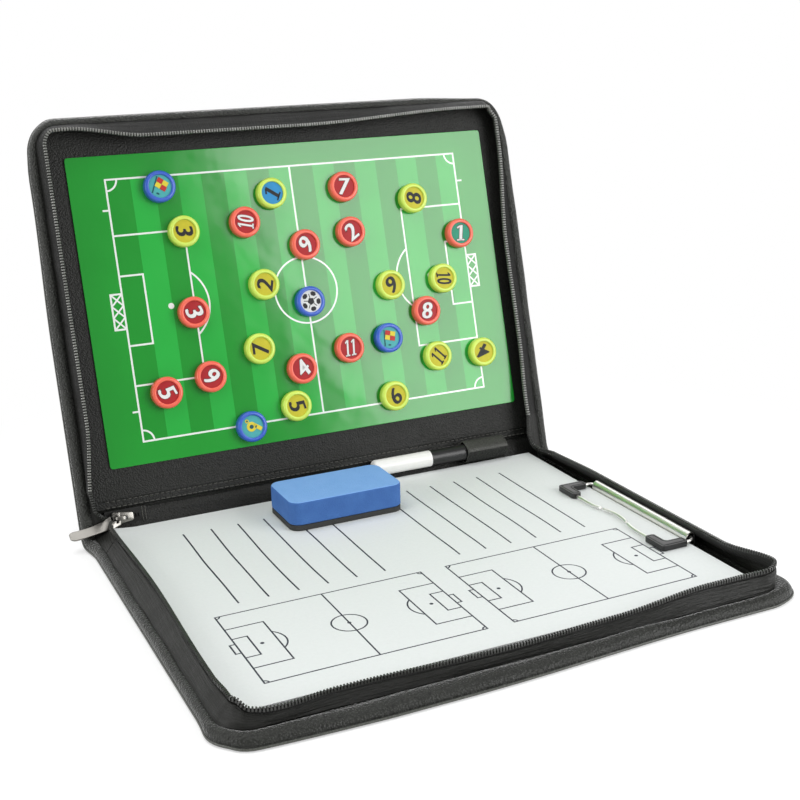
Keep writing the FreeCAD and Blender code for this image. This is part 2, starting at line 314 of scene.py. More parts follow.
# %% [markdown]
# ## Writing a finish
# A finish is a node material. The Tone class wraps one shader value, so that sums, products and
# comparisons are written as plain expressions and become Math nodes. Finish.node adds any other
# node from its type, its settings and what its sockets take.

# %% Shader arithmetic
class Tone:
    """One shader value that takes part in expressions."""

    def __init__(self, finish, socket):
        self.finish, self.socket = finish, socket

    def math(self, operation, *values):
        return self.finish.node("ShaderNodeMath", {"operation": operation}, dict(enumerate(values)))

    def __add__(self, other):
        return self.math("ADD", self, other)

    def __mul__(self, other):
        return self.math("MULTIPLY", self, other)

    __radd__, __rmul__ = __add__, __mul__

    def __sub__(self, other):
        return self.math("SUBTRACT", self, other)

    def __rsub__(self, other):
        return self.math("SUBTRACT", other, self)

    def __truediv__(self, other):
        return self.math("DIVIDE", self, other)

    def __abs__(self):
        return self.math("ABSOLUTE", self)

    def __lt__(self, other):
        return self.math("LESS_THAN", self, other)

    def __gt__(self, other):
        return self.math("GREATER_THAN", self, other)

    def __mod__(self, other):
        return self.math("FLOORED_MODULO", self, other)

    def __or__(self, other):
        return self.math("MAXIMUM", self, other)

    def root(self):
        return self.math("SQRT", self)

    def sine(self):
        return self.math("SINE", self)


class Finish:
    """A node material, or the world's light, while it is being written."""

    def __init__(self, name, home=bpy.data.materials, shader="Principled BSDF"):
        self.material = home.new(name)
        self.material.use_nodes = True
        self.tree = self.material.node_tree
        self.shader = self.tree.nodes[shader]

    def node(self, kind, settings=None, sockets=None, output=0):
        """Add a node; the settings go first, then its sockets."""
        made = self.tree.nodes.new(kind)
        for key, value in (settings or {}).items():
            setattr(made, key, value)
        for key, value in (sockets or {}).items():
            self.feed(made.inputs[key], value)
        return Tone(self, made.outputs[output])

    def feed(self, socket, value):
        if isinstance(value, Tone):
            self.tree.links.new(value.socket, socket)
        else:
            socket.default_value = value

    def surface(self, **sockets):
        """Set the shader's sockets; an underscore stands for a space."""
        for key, value in sockets.items():
            self.feed(self.shader.inputs[key.replace("_", " ")], value)
        return self.material

    def spot(self, scale=(1.0, 1.0, 1.0), shift=(0.0, 0.0, 0.0), turn=(0.0, 0.0, 0.0), flat=False):
        """Place on the piece in mm: its object coordinates, or its flat cloth."""
        source = self.node("ShaderNodeTexCoord", output="UV" if flat else "Object")
        if not flat:
            scale = [v / MM for v in scale]
        return self.node("ShaderNodeMapping", None,
                         {"Vector": source, "Location": shift, "Rotation": turn, "Scale": scale})

    def split(self, vector):
        """The x, y and z of a vector."""
        parts = self.node("ShaderNodeSeparateXYZ", None, {"Vector": vector})
        return [Tone(self, output) for output in parts.socket.node.outputs]

    def noise(self, vector, scale, detail=3.0, rough=0.55):
        return self.node("ShaderNodeTexNoise", None,
                         {"Vector": vector, "Scale": scale, "Detail": detail, "Roughness": rough})

    def cells(self, vector, scale, feature="SMOOTH_F1"):
        return self.node("ShaderNodeTexVoronoi", {"feature": feature}, {"Vector": vector, "Scale": scale})

    def mix(self, factor, first, second):
        """Blend two colours."""
        return self.node("ShaderNodeMix", {"data_type": "RGBA"}, {0: factor, 6: first, 7: second}, 2)

    def bump(self, height, depth, **below):
        """Relief of a depth in mm."""
        return self.node("ShaderNodeBump", None, {"Height": height, "Distance": depth * MM, **below})

    def rays(self, first, second):
        """1 for the rays of two kinds."""
        path = self.node("ShaderNodeLightPath").socket.node.outputs
        return Tone(self, path[first]) | Tone(self, path[second])


def paint(r, g, b):
    """Colour from screen values of 0 to 255."""
    def linear(v):
        v /= 255.0
        return v / 12.92 if v <= 0.04045 else ((v + 0.055) / 1.055) ** 2.4
    return (linear(r), linear(g), linear(b), 1.0)


print("shader arithmetic ready")

# %% [markdown]
# ## Black leatherette
# The cover is a coated cloth with a pebble grain. Small rounded cells give the pebbles, a coarse
# noise gives the slow unevenness of padding under a skin, and the tops of the pebbles are a little
# smoother than the valleys. The lining is the same cloth with a finer grain. A faint sheen lights
# the edges of the cover, as the fine hair of a worn coating does.

# %% Leatherette finishes
BLACK = paint(6, 6, 5)


def leatherette(name, pebble, depth, dark, light, rough, sheen=0.0):
    finish = Finish(name)
    spot = finish.spot()
    grain = finish.cells(spot, 1.0 / pebble)
    slow = finish.noise(spot, 0.06, 4.0)
    fine = finish.noise(spot, 2.4, 2.0)
    tops = 1.0 - grain
    return finish.surface(Base_Color=finish.mix(tops * 1.1 + slow * 0.35 - 0.2, dark, light),
                          Roughness=rough + 0.22 * (grain + slow - 0.7),
                          Normal=finish.bump(tops + fine * 0.25, depth),
                          Specular_IOR_Level=0.36, Sheen_Weight=sheen, Sheen_Roughness=0.3)


def gusset_cloth(name, streak, rib, light):
    """Thin cloth of the zip wall: long creases along the zip and fine ribs across it."""
    finish = Finish(name)
    creases = finish.noise(finish.spot((0.025, 0.55, 1.0), flat=True), 1.0, 4.0, 0.6)
    ribs = finish.noise(finish.spot((1.25, 0.06, 1.0), flat=True), 1.0, 2.0, 0.6)
    weave = finish.noise(finish.spot(), 2.2, 2.0)
    return finish.surface(Base_Color=finish.mix(creases * 0.7 + ribs * 0.3, BLACK, light),
                          Roughness=0.45 + 0.25 * (ribs - 0.5), Specular_IOR_Level=0.3,
                          Normal=finish.bump(ribs + weave * 0.4, rib, Normal=finish.bump(creases, streak)))


cover_skin = leatherette("cover_skin", 1.0, 0.60, BLACK, paint(52, 54, 49), 0.38, 0.95)
# The rims of base and lid are one leatherette; the base's rim gets a darker copy with less sheen, as painted
# shade.
base_skin = leatherette("base_skin", 1.0, 0.50, BLACK, paint(39, 41, 36), 0.42, 0.6)
lining_skin = leatherette("lining_skin", 0.9, 0.42, paint(5, 5, 4), paint(29, 30, 26), 0.48)
# Pale skin for the rims' welts and the strap's cut ends: painted highlight.
welt_skin = leatherette("welt_skin", 0.7, 0.12, paint(52, 53, 49), paint(92, 94, 88), 0.34)
strap_skin = leatherette("strap_skin", 0.7, 0.15, paint(22, 22, 20), paint(70, 71, 66), 0.42)
base_wall_cloth = gusset_cloth("base_wall_cloth", 1.4, 0.08, paint(34, 35, 31))
# The lid's wall is the same cloth in a darker copy: painted shade.
lid_wall_cloth = gusset_cloth("lid_wall_cloth", 0.6, 0.40, paint(19, 20, 17))
print("leatherette finishes", cover_skin.name, lining_skin.name)

# %% [markdown]
# ## Zip, thread and small black parts
# The tape is a twill ribbon, the teeth are moulded plastic with a soft shine, and thread is a
# twisted strand. They are all nearly black, so their relief and roughness tell them apart. The lid's
# teeth are painted a lighter grey, as painted glints.

# %% Small finishes
def moulded(name, colour, lighter, rough, grain=0.03, coat=0.0):
    """Moulded plastic with a faint uneven skin."""
    finish = Finish(name)
    spot = finish.spot()
    skin = finish.noise(spot, 0.9)
    cloud = finish.noise(spot, 0.11, 2.0)
    return finish.surface(Base_Color=finish.mix(cloud, colour, lighter), Coat_Weight=coat,
                          Roughness=rough + 0.16 * (skin - 0.5), Normal=finish.bump(skin, grain))


def ribbon(name, pitch, dark, light, depth):
    """Woven ribbon with slanting ribs."""
    finish = Finish(name)
    along, across = finish.split(finish.spot(flat=True))[:2]
    twill = ((along + across * 0.6) * (2.0 * math.pi / pitch)).sine() * 0.5 + 0.5
    fuzz = finish.noise(finish.spot(), 3.0, 2.0)
    return finish.surface(Base_Color=finish.mix(twill * 0.6 + fuzz * 0.4, dark, light),
                          Roughness=0.75 + 0.2 * (fuzz - 0.5), Normal=finish.bump(twill + fuzz * 0.5, depth))


def metal(name, colour, rough, streak):
    """Bright metal with faint drawing lines along Y."""
    finish = Finish(name)
    lines = finish.noise(finish.spot((3.0, 0.05, 3.0)), 1.0, 2.0)
    stain = finish.noise(finish.spot(), 0.15)
    darker = [v * 0.82 for v in colour]
    return finish.surface(Base_Color=finish.mix(stain, (*darker, 1.0), (*colour, 1.0)), Metallic=1.0,
                          Roughness=rough + 0.12 * (lines - 0.4), Normal=finish.bump(lines, streak))


tape_cloth = ribbon("tape_cloth", 0.9, paint(14, 14, 13), paint(34, 34, 32), 0.12)
tooth_plastic = moulded("tooth_plastic", paint(40, 41, 39), paint(70, 71, 68), 0.18)
# Lighter teeth for the lid's row: painted glints of the lamps.
worn_tooth = moulded("worn_tooth", paint(96, 97, 93), paint(156, 157, 152), 0.18)
seam_thread = moulded("seam_thread", paint(50, 50, 46), paint(86, 86, 80), 0.5, 0.1)
black_plastic = moulded("black_plastic", paint(18, 18, 18), paint(32, 32, 32), 0.36, 0.04)
white_plastic = moulded("white_plastic", paint(228, 228, 224), paint(240, 240, 237), 0.3, 0.015)
grey_card = moulded("grey_card", paint(150, 140, 124), paint(172, 162, 146), 0.85, 0.06)
bright_steel = metal("bright_steel", (0.95, 0.94, 0.90), 0.30, 0.01)
zip_metal = metal("zip_metal", (0.27, 0.26, 0.24), 0.30, 0.02)
print("zip, metal and plastic finishes ready")

# %% [markdown]
# ## The sides of a panel
# Base and lid share one outline, round at the two free corners. The route walks along its three
# free sides and gives, at each stop, a point, the direction outwards and the distance run. Rims,
# zip walls and teeth are all lofted along this route, so that they keep parallel.

# %% Route round the free sides
STRAIGHT_STEP, CORNER_STEPS = 6.0, 12


def ease(t):
    """Smooth step from 0 to 1."""
    t = min(max(t, 0.0), 1.0)
    return t * t * (3.0 - 2.0 * t)


def hump(v, centre, reach):
    """Smooth hill of height 1."""
    return ease(1.0 - abs(v - centre) / reach)


def runs(points):
    """Distance run at each point of a line."""
    total = [0.0]
    for a, b in zip(points, points[1:]):
        total.append(total[-1] + math.dist(a, b))
    return total


def route(start):
    """Stops (x, r, outward x, outward r, distance run) from the left fold round to the right fold."""
    side, core = DEPTH - ROUND, HALF - ROUND
    stops = []

    def straight(x0, r0, x1, r1, nx, nr):
        count = max(2, round(math.hypot(x1 - x0, r1 - r0) / STRAIGHT_STEP))
        for k in range(count):
            t = k / count
            stops.append((x0 + (x1 - x0) * t, r0 + (r1 - r0) * t, nx, nr))

    def corner(cx, first):
        for k in range(CORNER_STEPS):
            a = math.radians(first - 90.0 * k / CORNER_STEPS)
            stops.append((cx + ROUND * math.cos(a), side + ROUND * math.sin(a), math.cos(a), math.sin(a)))

    straight(-HALF, start, -HALF, side, -1.0, 0.0)
    corner(-core, 180.0)
    straight(-core, DEPTH, core, DEPTH, 0.0, 1.0)
    corner(core, 90.0)
    straight(HALF, side, HALF, start, 1.0, 0.0)
    stops.append((HALF, start, 1.0, 0.0))
    return [stop + (run,) for stop, run in zip(stops, runs([stop[:2] for stop in stops]))]


ZIP_START = 9.0
zip_route = route(ZIP_START)
print("route stops", len(zip_route), "length", round(zip_route[-1][4], 1), "mm")

# %% [markdown]
# ## Padded rims
# The edge of each panel is a soft roll: a thin welt at the very bottom, a padded swelling, then a
# groove where the zip wall is sewn in. A section is walked round the route. On the real folder the
# front edge bows out a little, so the outline gets a slow bow as well.

# %% Rims of base and lid
RIM = [(10.5, 0.1), (6.0, 0.0), (1.8, 0.0), (0.6, 0.1), (0.05, 0.55), (0.0, 1.1), (0.35, 1.6),
       (0.85, 1.95), (0.75, 2.5), (0.95, 3.4), (1.6, 4.6), (2.7, 5.6), (4.2, 6.3), (5.8, 6.4),
       (7.2, 5.9), (8.2, 4.9), (9.2, 4.3), (10.5, 4.2), (11.5, 2.2), (10.5, 0.1)]
RIM_WIDTH = 11.5
RIM_GIRTH = runs(RIM)
WELT_LOW, WELT_HIGH = RIM_GIRTH[3], RIM_GIRTH[6]


def base_bow(x, r):
    """How far the base's edge bows out: most of all in front, and at the front right corner."""
    front = 5.4 * min(math.sqrt(min(max((x + 158.0) / 75.0, 0.0), 1.0)), ease((110.0 - x) / 150.0))
    left = -3.3 * ease((-150.0 - x) / 14.0) * (1.0 - 0.6 * ease((r - 205.0) / 30.0)) * ease((r + 24.0) / 26.0)
    corner = 5.0 * hump(r, 218.0, 32.0) * ease((x - 152.0) / 14.0)
    return front * ease((r - 200.0) / 30.0) + left + corner


def lid_bow(x, r):
    """The lid's top edge is drawn in a little, most of all at the right."""
    top = ease((r - 200.0) / 30.0) * (2.6 + 2.2 * hump(x, 152.0, 55.0))
    return -top - 1.8 * hump(r, 190.0, 90.0) * ease((-150.0 - x) / 10.0)


def bow_share(depth):
    """The bow fades out towards the inner edge of the rim."""
    return max(0.0, 1.0 - depth / RIM_WIDTH)


def roll(name, distances, spot, skin):
    """Closed roll with the rim's section: grained skin, and a smooth welt along its very edge, painted pale
    as a painted highlight.
    """
    piece = loft(name, len(distances), len(RIM), spot, lambda i, j: (distances[i], RIM_GIRTH[j]), close=True)
    flat = piece.data.uv_layers.active.data

    def on_welt(face):
        level = sum(flat[k].uv.y for k in face.loop_indices) / face.loop_total
        return WELT_LOW < level < WELT_HIGH and face.loop_total == 4

    dress(piece, skin, welt_skin, rule=on_welt)
    smooth(piece, 50.0)
    return piece


def rim(name, place, bow, skin):
    stops = route(0.0)

    def spot(i, j):
        x, r, nx, nr, run = stops[i]
        depth, n = RIM[j]
        soft = 1.0 + 0.05 * math.sin(run / 17.0) + 0.04 * math.sin(run / 7.3 + 1.0)
        out = bow(x, r) * bow_share(depth) - depth
        return place(x + nx * out, r + nr * out, n * soft if n > 2.0 else n)

    return roll(name, [stop[4] for stop in stops], spot, skin)


# The base's rim takes the darker skin: painted shade.
for body, place, bow, skin in (("base", on_base, base_bow, base_skin), ("lid", on_lid, lid_bow, cover_skin)):
    piece = rim(body + "_rim", place, bow, skin)
    carry(piece, body, "leatherette", body + "_cover")
    print("rim", piece.name, len(piece.data.polygons), "faces")

# %% [markdown]
# ## Stiff panels
# Inside each cover is a board: leatherette outside, lining inside. A plane is cut to size, its two
# free corners are rounded by a vertex bevel, and it is pulled up to its thickness.

# %% Panels of base and lid
PANEL_INSET, PANEL_LOW, PANEL_TOP = 9.5, 0.15, 4.2


def panel(name, place):
    half, depth = HALF - PANEL_INSET, DEPTH - PANEL_INSET
    piece = block(name, (-half, half), (0.0, depth), (PANEL_LOW, PANEL_LOW), kind="plane")
    edit(piece)
    pick(piece, "VERT", lambda v: v.co.y > depth / 2.0 * MM)
    bevel(ROUND - PANEL_INSET, 10, affect="VERTICES")
    everything()
    draw_out(0.0, 0.0, PANEL_TOP)
    leave()
    outward(piece)
    soften(piece, 0.4)
    dress(piece, cover_skin, lining_skin, rule=lambda face: face.center.z > PANEL_TOP / 2.0 * MM)
    lay(piece, frame_at(place))
    smooth(piece, 40.0)
    even_faces(piece)
    return piece


for body, place in (("base", on_base), ("lid", on_lid)):
    piece = panel(body + "_panel", place)
    carry(piece, body, "lining", body + "_stiffener", body + "_lining")
    print("panel", piece.name, [round(v, 3) for v in piece.dimensions])

# %% [markdown]
# ## Zip walls
# A wall of thin cloth stands in the groove of each rim and carries the zip. It is limp, so it leans
# inwards along the middle of a side and is pulled out at the corners. The lean and the rise are
# smooth rules of the place on the outline; the cloth gets its thickness from Solidify.

# %% Lean of the walls
def base_lean(x, r):
    """Lean inwards and rise of the base's tooth line."""
    side = ease((abs(x) - 150.0) / 10.0)
    front = ease((r - 215.0) / 12.0)
    right_corner = hump(x, 160.0, 26.0) * hump(r, 222.0, 36.0)
    if x < 0.0:
        lean = side * (2.0 + 2.3 * hump(r, 85.0, 105.0))
        lean += 1.2 * ease((-138.0 - x) / 12.0) * ease((r - 200.0) / 15.0)
    else:
        lean = side * (1.2 + 3.0 * hump(r, 0.0, 58.0)) - 7.4 * right_corner
    lean -= front * (2.8 * hump(x, -130.0, 26.0) + 2.9 * hump(x, -15.0, 80.0))
    rise = 3.0 * right_corner - 4.6 * front * ease((x + 165.0) / 28.0) * ease((112.0 - x) / 60.0)
    return lean, rise


def lid_lean(x, r):
    """Lean inwards and rise of the lid's tooth line."""
    side = ease((abs(x) - 150.0) / 10.0)
    top = ease((r - 215.0) / 12.0)
    low = 0.0
    if x < 0.0:
        lean = side * (-1.4 - 4.5 * ease((50.0 - r) / 50.0))
    else:
        lean = side * (1.2 + 4.4 * ease((200.0 - r) / 70.0) + 2.2 * ease((60.0 - r) / 50.0))
        low = 2.6 * side * ease(r / 40.0)
    lean += top * 6.4 * ease((x + 142.0) / 48.0) * (1.0 - 0.78 * ease((x - 10.0) / 120.0))
    return lean, 0.4 * math.sin(r / 31.0) - low


def wall_spot(place, lean_rule, stop, depth, n):
    """A place on the zip wall."""
    x, r, nx, nr, run = stop
    lean, rise = lean_rule(x, r)
    t = ease((n - 5.0) / 10.0)
    ripple = 0.35 * math.sin(run / 5.3) * math.sin(run / 13.0) * t * (1.0 - t) * 4.0
    depth += lean * t + ripple
    return place(x - nx * depth, r - nr * depth, n + rise * t)


print("lean at the middle of the front", base_lean(0.0, DEPTH))

# %% Zip walls of base and lid
WALL = [(8.0, 4.6), (8.2, 6.2), (8.7, 8.0), (9.5, 10.0), (10.6, 12.0), (12.0, 13.8), (12.5, 14.6)]
TAPE = [(11.6, 11.4), (12.5, 12.9), (13.2, 14.2), (13.3, 16.8)]
WALL_THICK, TAPE_THICK = 1.0, 0.7
wall_stops = route(ZIP_START - 2.0)


def zip_wall(name, place, lean_rule, section, thickness):
    girth = runs(section)
    piece = loft(name, len(wall_stops), len(section),
                 lambda i, j: wall_spot(place, lean_rule, wall_stops[i], *section[j]),
                 lambda i, j: (wall_stops[i][4], girth[j]))
    thicken(piece, thickness)
    modify(piece, "SUBSURF", levels=1, render_levels=1)
    smooth(piece, 60.0)
    return piece


# The lid's row of teeth takes the lighter plastic with painted glints.
panel_rules = (("base", on_base, base_lean, base_wall_cloth, tooth_plastic),
               ("lid", on_lid, lid_lean, lid_wall_cloth, worn_tooth))
for body, place, lean_rule, cloth, plastic in panel_rules:
    wall = zip_wall(body + "_wall", place, lean_rule, WALL, WALL_THICK)
    dress(wall, cloth)
    carry(wall, body, "leatherette")
    tape = zip_wall(body + "_tape", place, lean_rule, TAPE, TAPE_THICK)
    dress(tape, tape_cloth)
    carry(tape, body, "zip_tape", body + "_zip_tape")
    cut = (runs(WALL)[-1] * MM, wall_stops[-1][4] * MM)
    body + "_rim"
    print("zip wall", wall.name, len(wall.data.polygons), "faces")

# %% [markdown]
# ## Zip teeth
# One tooth is a small block with a bevelled head. It is modelled once, and copies of it, each with
# its own mesh, are set along the top of the tape at the zip's pitch and joined into one row.

# %% Rows of teeth
TOOTH_PITCH, TOOTH = 1.7, (0.95, 1.9, 1.7)
ROW_DEPTH, ROW_HEIGHT = 12.6, 16.7

tooth = block("tooth", *[(-v / 2.0, v / 2.0) for v in TOOTH])
edit(tooth)
pick(tooth, "FACE", faces_up)
inset(0.25)
bpy.ops.transform.translate(value=(0.0, 0.0, 0.3 * MM))
leave()
dress(tooth, tooth_plastic)


def walk(line, distances):
    """Number of the stretch, and share of it, at each distance along a line."""
    run = runs(line)
    k = 0
    for want in distances:
        while k < len(run) - 2 and run[k + 1] < want:
            k += 1
        yield k, (want - run[k]) / max(run[k + 1] - run[k], 1e-9)


def tooth_row(name, line, ups):
    """Teeth along a line of points; ups are the directions in which they stand."""
    pitches = runs(line)[-1] / (TOOTH_PITCH * MM)
    count = int(pitches)
    spare = 0.5 * (pitches - count)
    teeth = []
    for k, t in walk(line, [(number + spare) * TOOTH_PITCH * MM for number in range(count + 1)]):
        along = (line[k + 1] - line[k]).normalized()
        across = ups[k].lerp(ups[k + 1], t).cross(along).normalized()
        turn = Matrix((along, across, along.cross(across))).transposed().to_4x4()
        one = copy_of(tooth, name + "_tooth")
        one.data.transform(Matrix.Translation(line[k].lerp(line[k + 1], t)) @ turn)
        teeth.append(one)
    return join(name, teeth)


for body, place, lean_rule, cloth, plastic in panel_rules:
    line = [wall_spot(place, lean_rule, stop, ROW_DEPTH, ROW_HEIGHT) for stop in zip_route]
    row = tooth_row(body + "_teeth", line, [upright(place)] * len(line))
    dress(row, plastic)
    carry(row, body, "zip_teeth", body + "_zip_teeth")
    print("teeth", row.name, len(row.data.polygons), "faces")

# %% [markdown]
# ## The soft spine
# The spine is one strip of padded leatherette that bends in a round curve from the base up to the
# lid. Its rule walks flat behind the base, round a bend and up to the lid. It crosses three joints,
# and a blend can only follow one, so the strip is made in three lengths that meet where each is
# carried wholly by one body.

# %% The spine's path
BEND, OVERLAP = 14.0, 8.0
SPINE_START = FOLD_Y - OVERLAP
BEND_REACH = BEND * math.tan(LEAN / 2.0)
FLAT_RUN = FOLD_Y + SLAT + SKIN_MID * math.tan(LEAN / 2.0) - BEND_REACH - SPINE_START
BEND_RUN = BEND * LEAN
LOWER_CUT_Y, UPPER_CUT_S = 124.6, 20.0


def slat_run(s):
    """Distance along the spine at a height s on the upper strip."""
    return FLAT_RUN + BEND_RUN + (s - BEND_REACH)


LOWER_CUT, UPPER_CUT = LOWER_CUT_Y - SPINE_START, slat_run(UPPER_CUT_S)
SEAM_T, SPINE_END = slat_run(17.2), slat_run(SLAT + OVERLAP)
SPANS = (("base_fold_spine", 0.0, LOWER_CUT), ("middle_fold_spine", LOWER_CUT, UPPER_CUT),
         ("lid_fold_spine", UPPER_CUT, SPINE_END))


def spine_at(x, t, n):
    """Place on the spine: t runs along the outer skin from the base to the lid."""
    a = min(max(t - FLAT_RUN, 0.0), BEND_RUN) / BEND
    far = max(t - FLAT_RUN - BEND_RUN, 0.0)
    y = SPINE_START + min(t, FLAT_RUN) + BEND * math.sin(a) + far * UP_Y
    z = BEND * (1.0 - math.cos(a)) + far * UP_Z
    return Vector((x, y - n * math.sin(a), z + n * math.cos(a))) * MM


def steps(first, last, size=1.5):
    """Even stops between two distances."""
    count = max(2, math.ceil((last - first) / size))
    return [first + (last - first) * k / count for k in range(count + 1)]


print("spine lengths", [round(last - first, 1) for name, first, last in SPANS], "mm")

# %% Strip and rims of the spine
STRIP_HALF, STRIP_ACROSS, STRIP_THICK, STRIP_MID = HALF - 9.0, 57, 2.9, 1.75
RIM_CORE = (5.5, 3.0)


def spine_strip(name, first, last):
    """Padded strip between the two rims, drawn in under the seam and full below it."""
    stops = steps(first, last, 1.0)
    spacing = 2.0 * STRIP_HALF / (STRIP_ACROSS - 1)

    def spot(i, j):
        x, t = spacing * j - STRIP_HALF, stops[i]
        swell = 0.35 * math.sin(x / 23.0 + t / 9.0) + 0.25 * math.sin(x / 11.0 - t / 6.0)
        edge = min(t / 6.0, (SPINE_END - t) / 6.0, 1.0)
        drawn = 0.8 * hump(t, SEAM_T - 10.0, 8.0) - 1.2 * hump(t, SEAM_T, 3.2)
        return spine_at(x, t, STRIP_MID + 0.5 * swell * edge + drawn)

    def inside(face):
        return face.normal.z > 0.3 or (face.normal.y < -0.3 and face.normal.z > -0.3)

    piece = loft(name, len(stops), STRIP_ACROSS, spot, lambda i, j: (spacing * j, stops[i]))
    thicken(piece, STRIP_THICK)
    dress(piece, cover_skin, lining_skin, rule=inside)
    smooth(piece, 60.0)
    return piece


def spine_rim(name, side, first, last):
    """The rim's roll along one end of the spine, tucked inside the rims that it meets."""
    stops = steps(first, last)

    def spot(i, j):
        t = stops[i]
        tuck = 0.1 * max(ease(1.0 - t / OVERLAP), ease((t - SPINE_END) / OVERLAP + 1.0))
        depth, n = (v + (core - v) * tuck for v, core in zip(RIM[j], RIM_CORE))
        bow = base_bow(side * HALF, OVERLAP - t) * bow_share(depth)
        return spine_at(side * (HALF - depth + bow), t, n)

    return roll(name, stops, spot, cover_skin)


spine_parts = {}
for name, first, last in SPANS:
    spine_parts[name] = [spine_strip(name + "_strip", first, last)]
    spine_parts[name] += [spine_rim(name + "_rim", side, first, last) for side in (-1.0, 1.0)]
print("spine strips", list(spine_parts))

# %% [markdown]
# ## Zip wall round the ends of the spine
# On the right the zip's two rows run into each other round a soft corner. On the left they come
# together at the slider. The wall there is a ruled cloth between the rim's groove and the tooth
# line; the tooth line is a short list of turning points with a smooth curve through them.

# %% Tooth line at the spine's ends
def curve_through(points, count):
    """Even points on a smooth curve through turning points."""
    data = bpy.data.curves.new("guide", "CURVE")
    data.dimensions = "3D"
    data.resolution_u = 24
    spline = data.splines.new("BEZIER")
    spline.bezier_points.add(len(points) - 1)
    for knot, point in zip(spline.bezier_points, points):
        knot.co = point
        knot.handle_left_type = knot.handle_right_type = "AUTO"
    guide = bpy.data.objects.new("guide", data)
    bpy.context.collection.objects.link(guide)
    shape = bpy.data.meshes.new_from_object(guide)
    line = [v.co.copy() for v in shape.vertices]
    bpy.data.objects.remove(guide)
    bpy.data.meshes.remove(shape)
    length = runs(line)[-1]
    distances = [length * k / (count - 1) for k in range(count)]
    return [line[k].lerp(line[k + 1], t) for k, t in walk(line, distances)]


def wall_end(place, lean_rule, right):
    """Where a panel's tooth line ends, and how far across and up each point of its wall lies there."""
    stop = zip_route[-1 if right else 0]
    top = wall_spot(place, lean_rule, stop, ROW_DEPTH, ROW_HEIGHT)
    points = [wall_spot(place, lean_rule, stop, *point) for point in WALL]
    foot = points[0]
    rise = top - foot
    across = rise.x
    rise.x = 0.0
    return top, [((p.x - foot.x) / across, (p - foot).dot(rise) / rise.length_squared) for p in points]


# side of the spine: end of the base's length, turning points between, start of the lid's length
ROW_TURNS = {
    1.0: (Vector((149.0, LOWER_CUT_Y, 15.6)) * MM, [Vector((147.6, 132.0, 18.0)) * MM],
          on_slat(146.4, UPPER_CUT_S, 15.6)),
    -1.0: (Vector((-152.6, LOWER_CUT_Y, 15.8)) * MM,
           [Vector((-151.8, 133.0, 15.4)) * MM, on_slat(-150.5, 13.3, 7.0), on_slat(-155.0, 16.0, 9.0)],
           on_slat(-158.6, UPPER_CUT_S, 11.5)),
}
print("tooth line turns", {side: len(turns[1]) + 2 for side, turns in ROW_TURNS.items()})

# %% Walls and teeth at the spine's ends
GROOVE_X, GROOVE_N = HALF - WALL[0][0], WALL[0][1]
for side, (low_end, turns, high_end) in ROW_TURNS.items():
    base_top, base_shares = wall_end(on_base, base_lean, side > 0.0)
    lid_top, lid_shares = wall_end(on_lid, lid_lean, side > 0.0)
    lines = ([base_top, low_end], [low_end, *turns, high_end], [high_end, lid_top])
    for (name, first, last), points in zip(SPANS, lines):
        stops = steps(OVERLAP - ZIP_START if first == 0.0 else first,
                      last + 1.0 if last == SPINE_END else last)
        line = curve_through(points, len(stops))

        def spot(i, j):
            low = spine_at(side * GROOVE_X, stops[i], GROOVE_N)
            way = ease(stops[i] / SPINE_END)
            share_x, share_up = (at_base * (1.0 - way) + at_lid * way
                                 for at_base, at_lid in zip(base_shares[j], lid_shares[j]))
            reach = line[i] - low
            return low + Vector((reach.x * share_x, reach.y * share_up, reach.z * share_up))

        wall = loft(name + "_wall", len(stops), len(WALL), spot, lambda i, j: (stops[i], j * 1.8))
        thicken(wall, WALL_THICK)
        smooth(wall, 60.0)
        dress(wall, base_wall_cloth)
        ups = [(point - spine_at(side * (GROOVE_X - 4.0), t, GROOVE_N)).normalized()
               for point, t in zip(line, stops)]
        spine_parts[name] += [wall, tooth_row(name + "_row", line, ups)]
print("spine parts", {name: len(parts) for name, parts in spine_parts.items()})

# %% [markdown]
# ## Seam along the lid's fold
# Two rows of stitches hold the lining under the board. A stitch is a short bar with rounded ends,
# modelled once and set in rows. The rows lie on the bending strip and are joined to it.

# %% Stitches
STITCH_R, STITCH_LONG = 0.36, 2.5
stitch = add("stitch", "cylinder", vertices=8, radius=STITCH_R * MM, depth=STITCH_LONG * MM,
             rotation=(0.0, math.pi / 2.0, 0.0))
rest(stitch)
edit(stitch)
pick(stitch, "FACE", lambda f: abs(f.normal.x) > 0.9)
inset(0.16)
leave()
for vertex in stitch.data.vertices:
    if math.hypot(vertex.co.y, vertex.co.z) > 0.3 * MM:
        vertex.co.x *= 0.8
dress(stitch, seam_thread)
smooth(stitch, 70.0)


def stitch_row(name, spots):
    """Stitches along a line of spots."""
    made = []
    for a, b in zip(spots, spots[1:]):
        turn = Vector((1.0, 0.0, 0.0)).rotation_difference((b - a).normalized()).to_matrix().to_4x4()
        one = copy_of(stitch, name)
        one.data.transform(Matrix.Translation((a + b) / 2.0) @ turn)
        made.append(one)
    return join(name, made)


SEAM_PITCH, SEAM_LEFT, SEAM_COUNT, SEAM_TOP = 3.5, -151.0, 87, 3.35
for s in (20.6, 24.2):
    spots = [spine_at(SEAM_LEFT + SEAM_PITCH * k, slat_run(s), SEAM_TOP) for k in range(SEAM_COUNT)]
    spine_parts["lid_fold_spine"].append(stitch_row("seam", spots))
for name, parts in spine_parts.items():
    join(name, parts)
print("seam stitches", 2 * (SEAM_COUNT - 1))
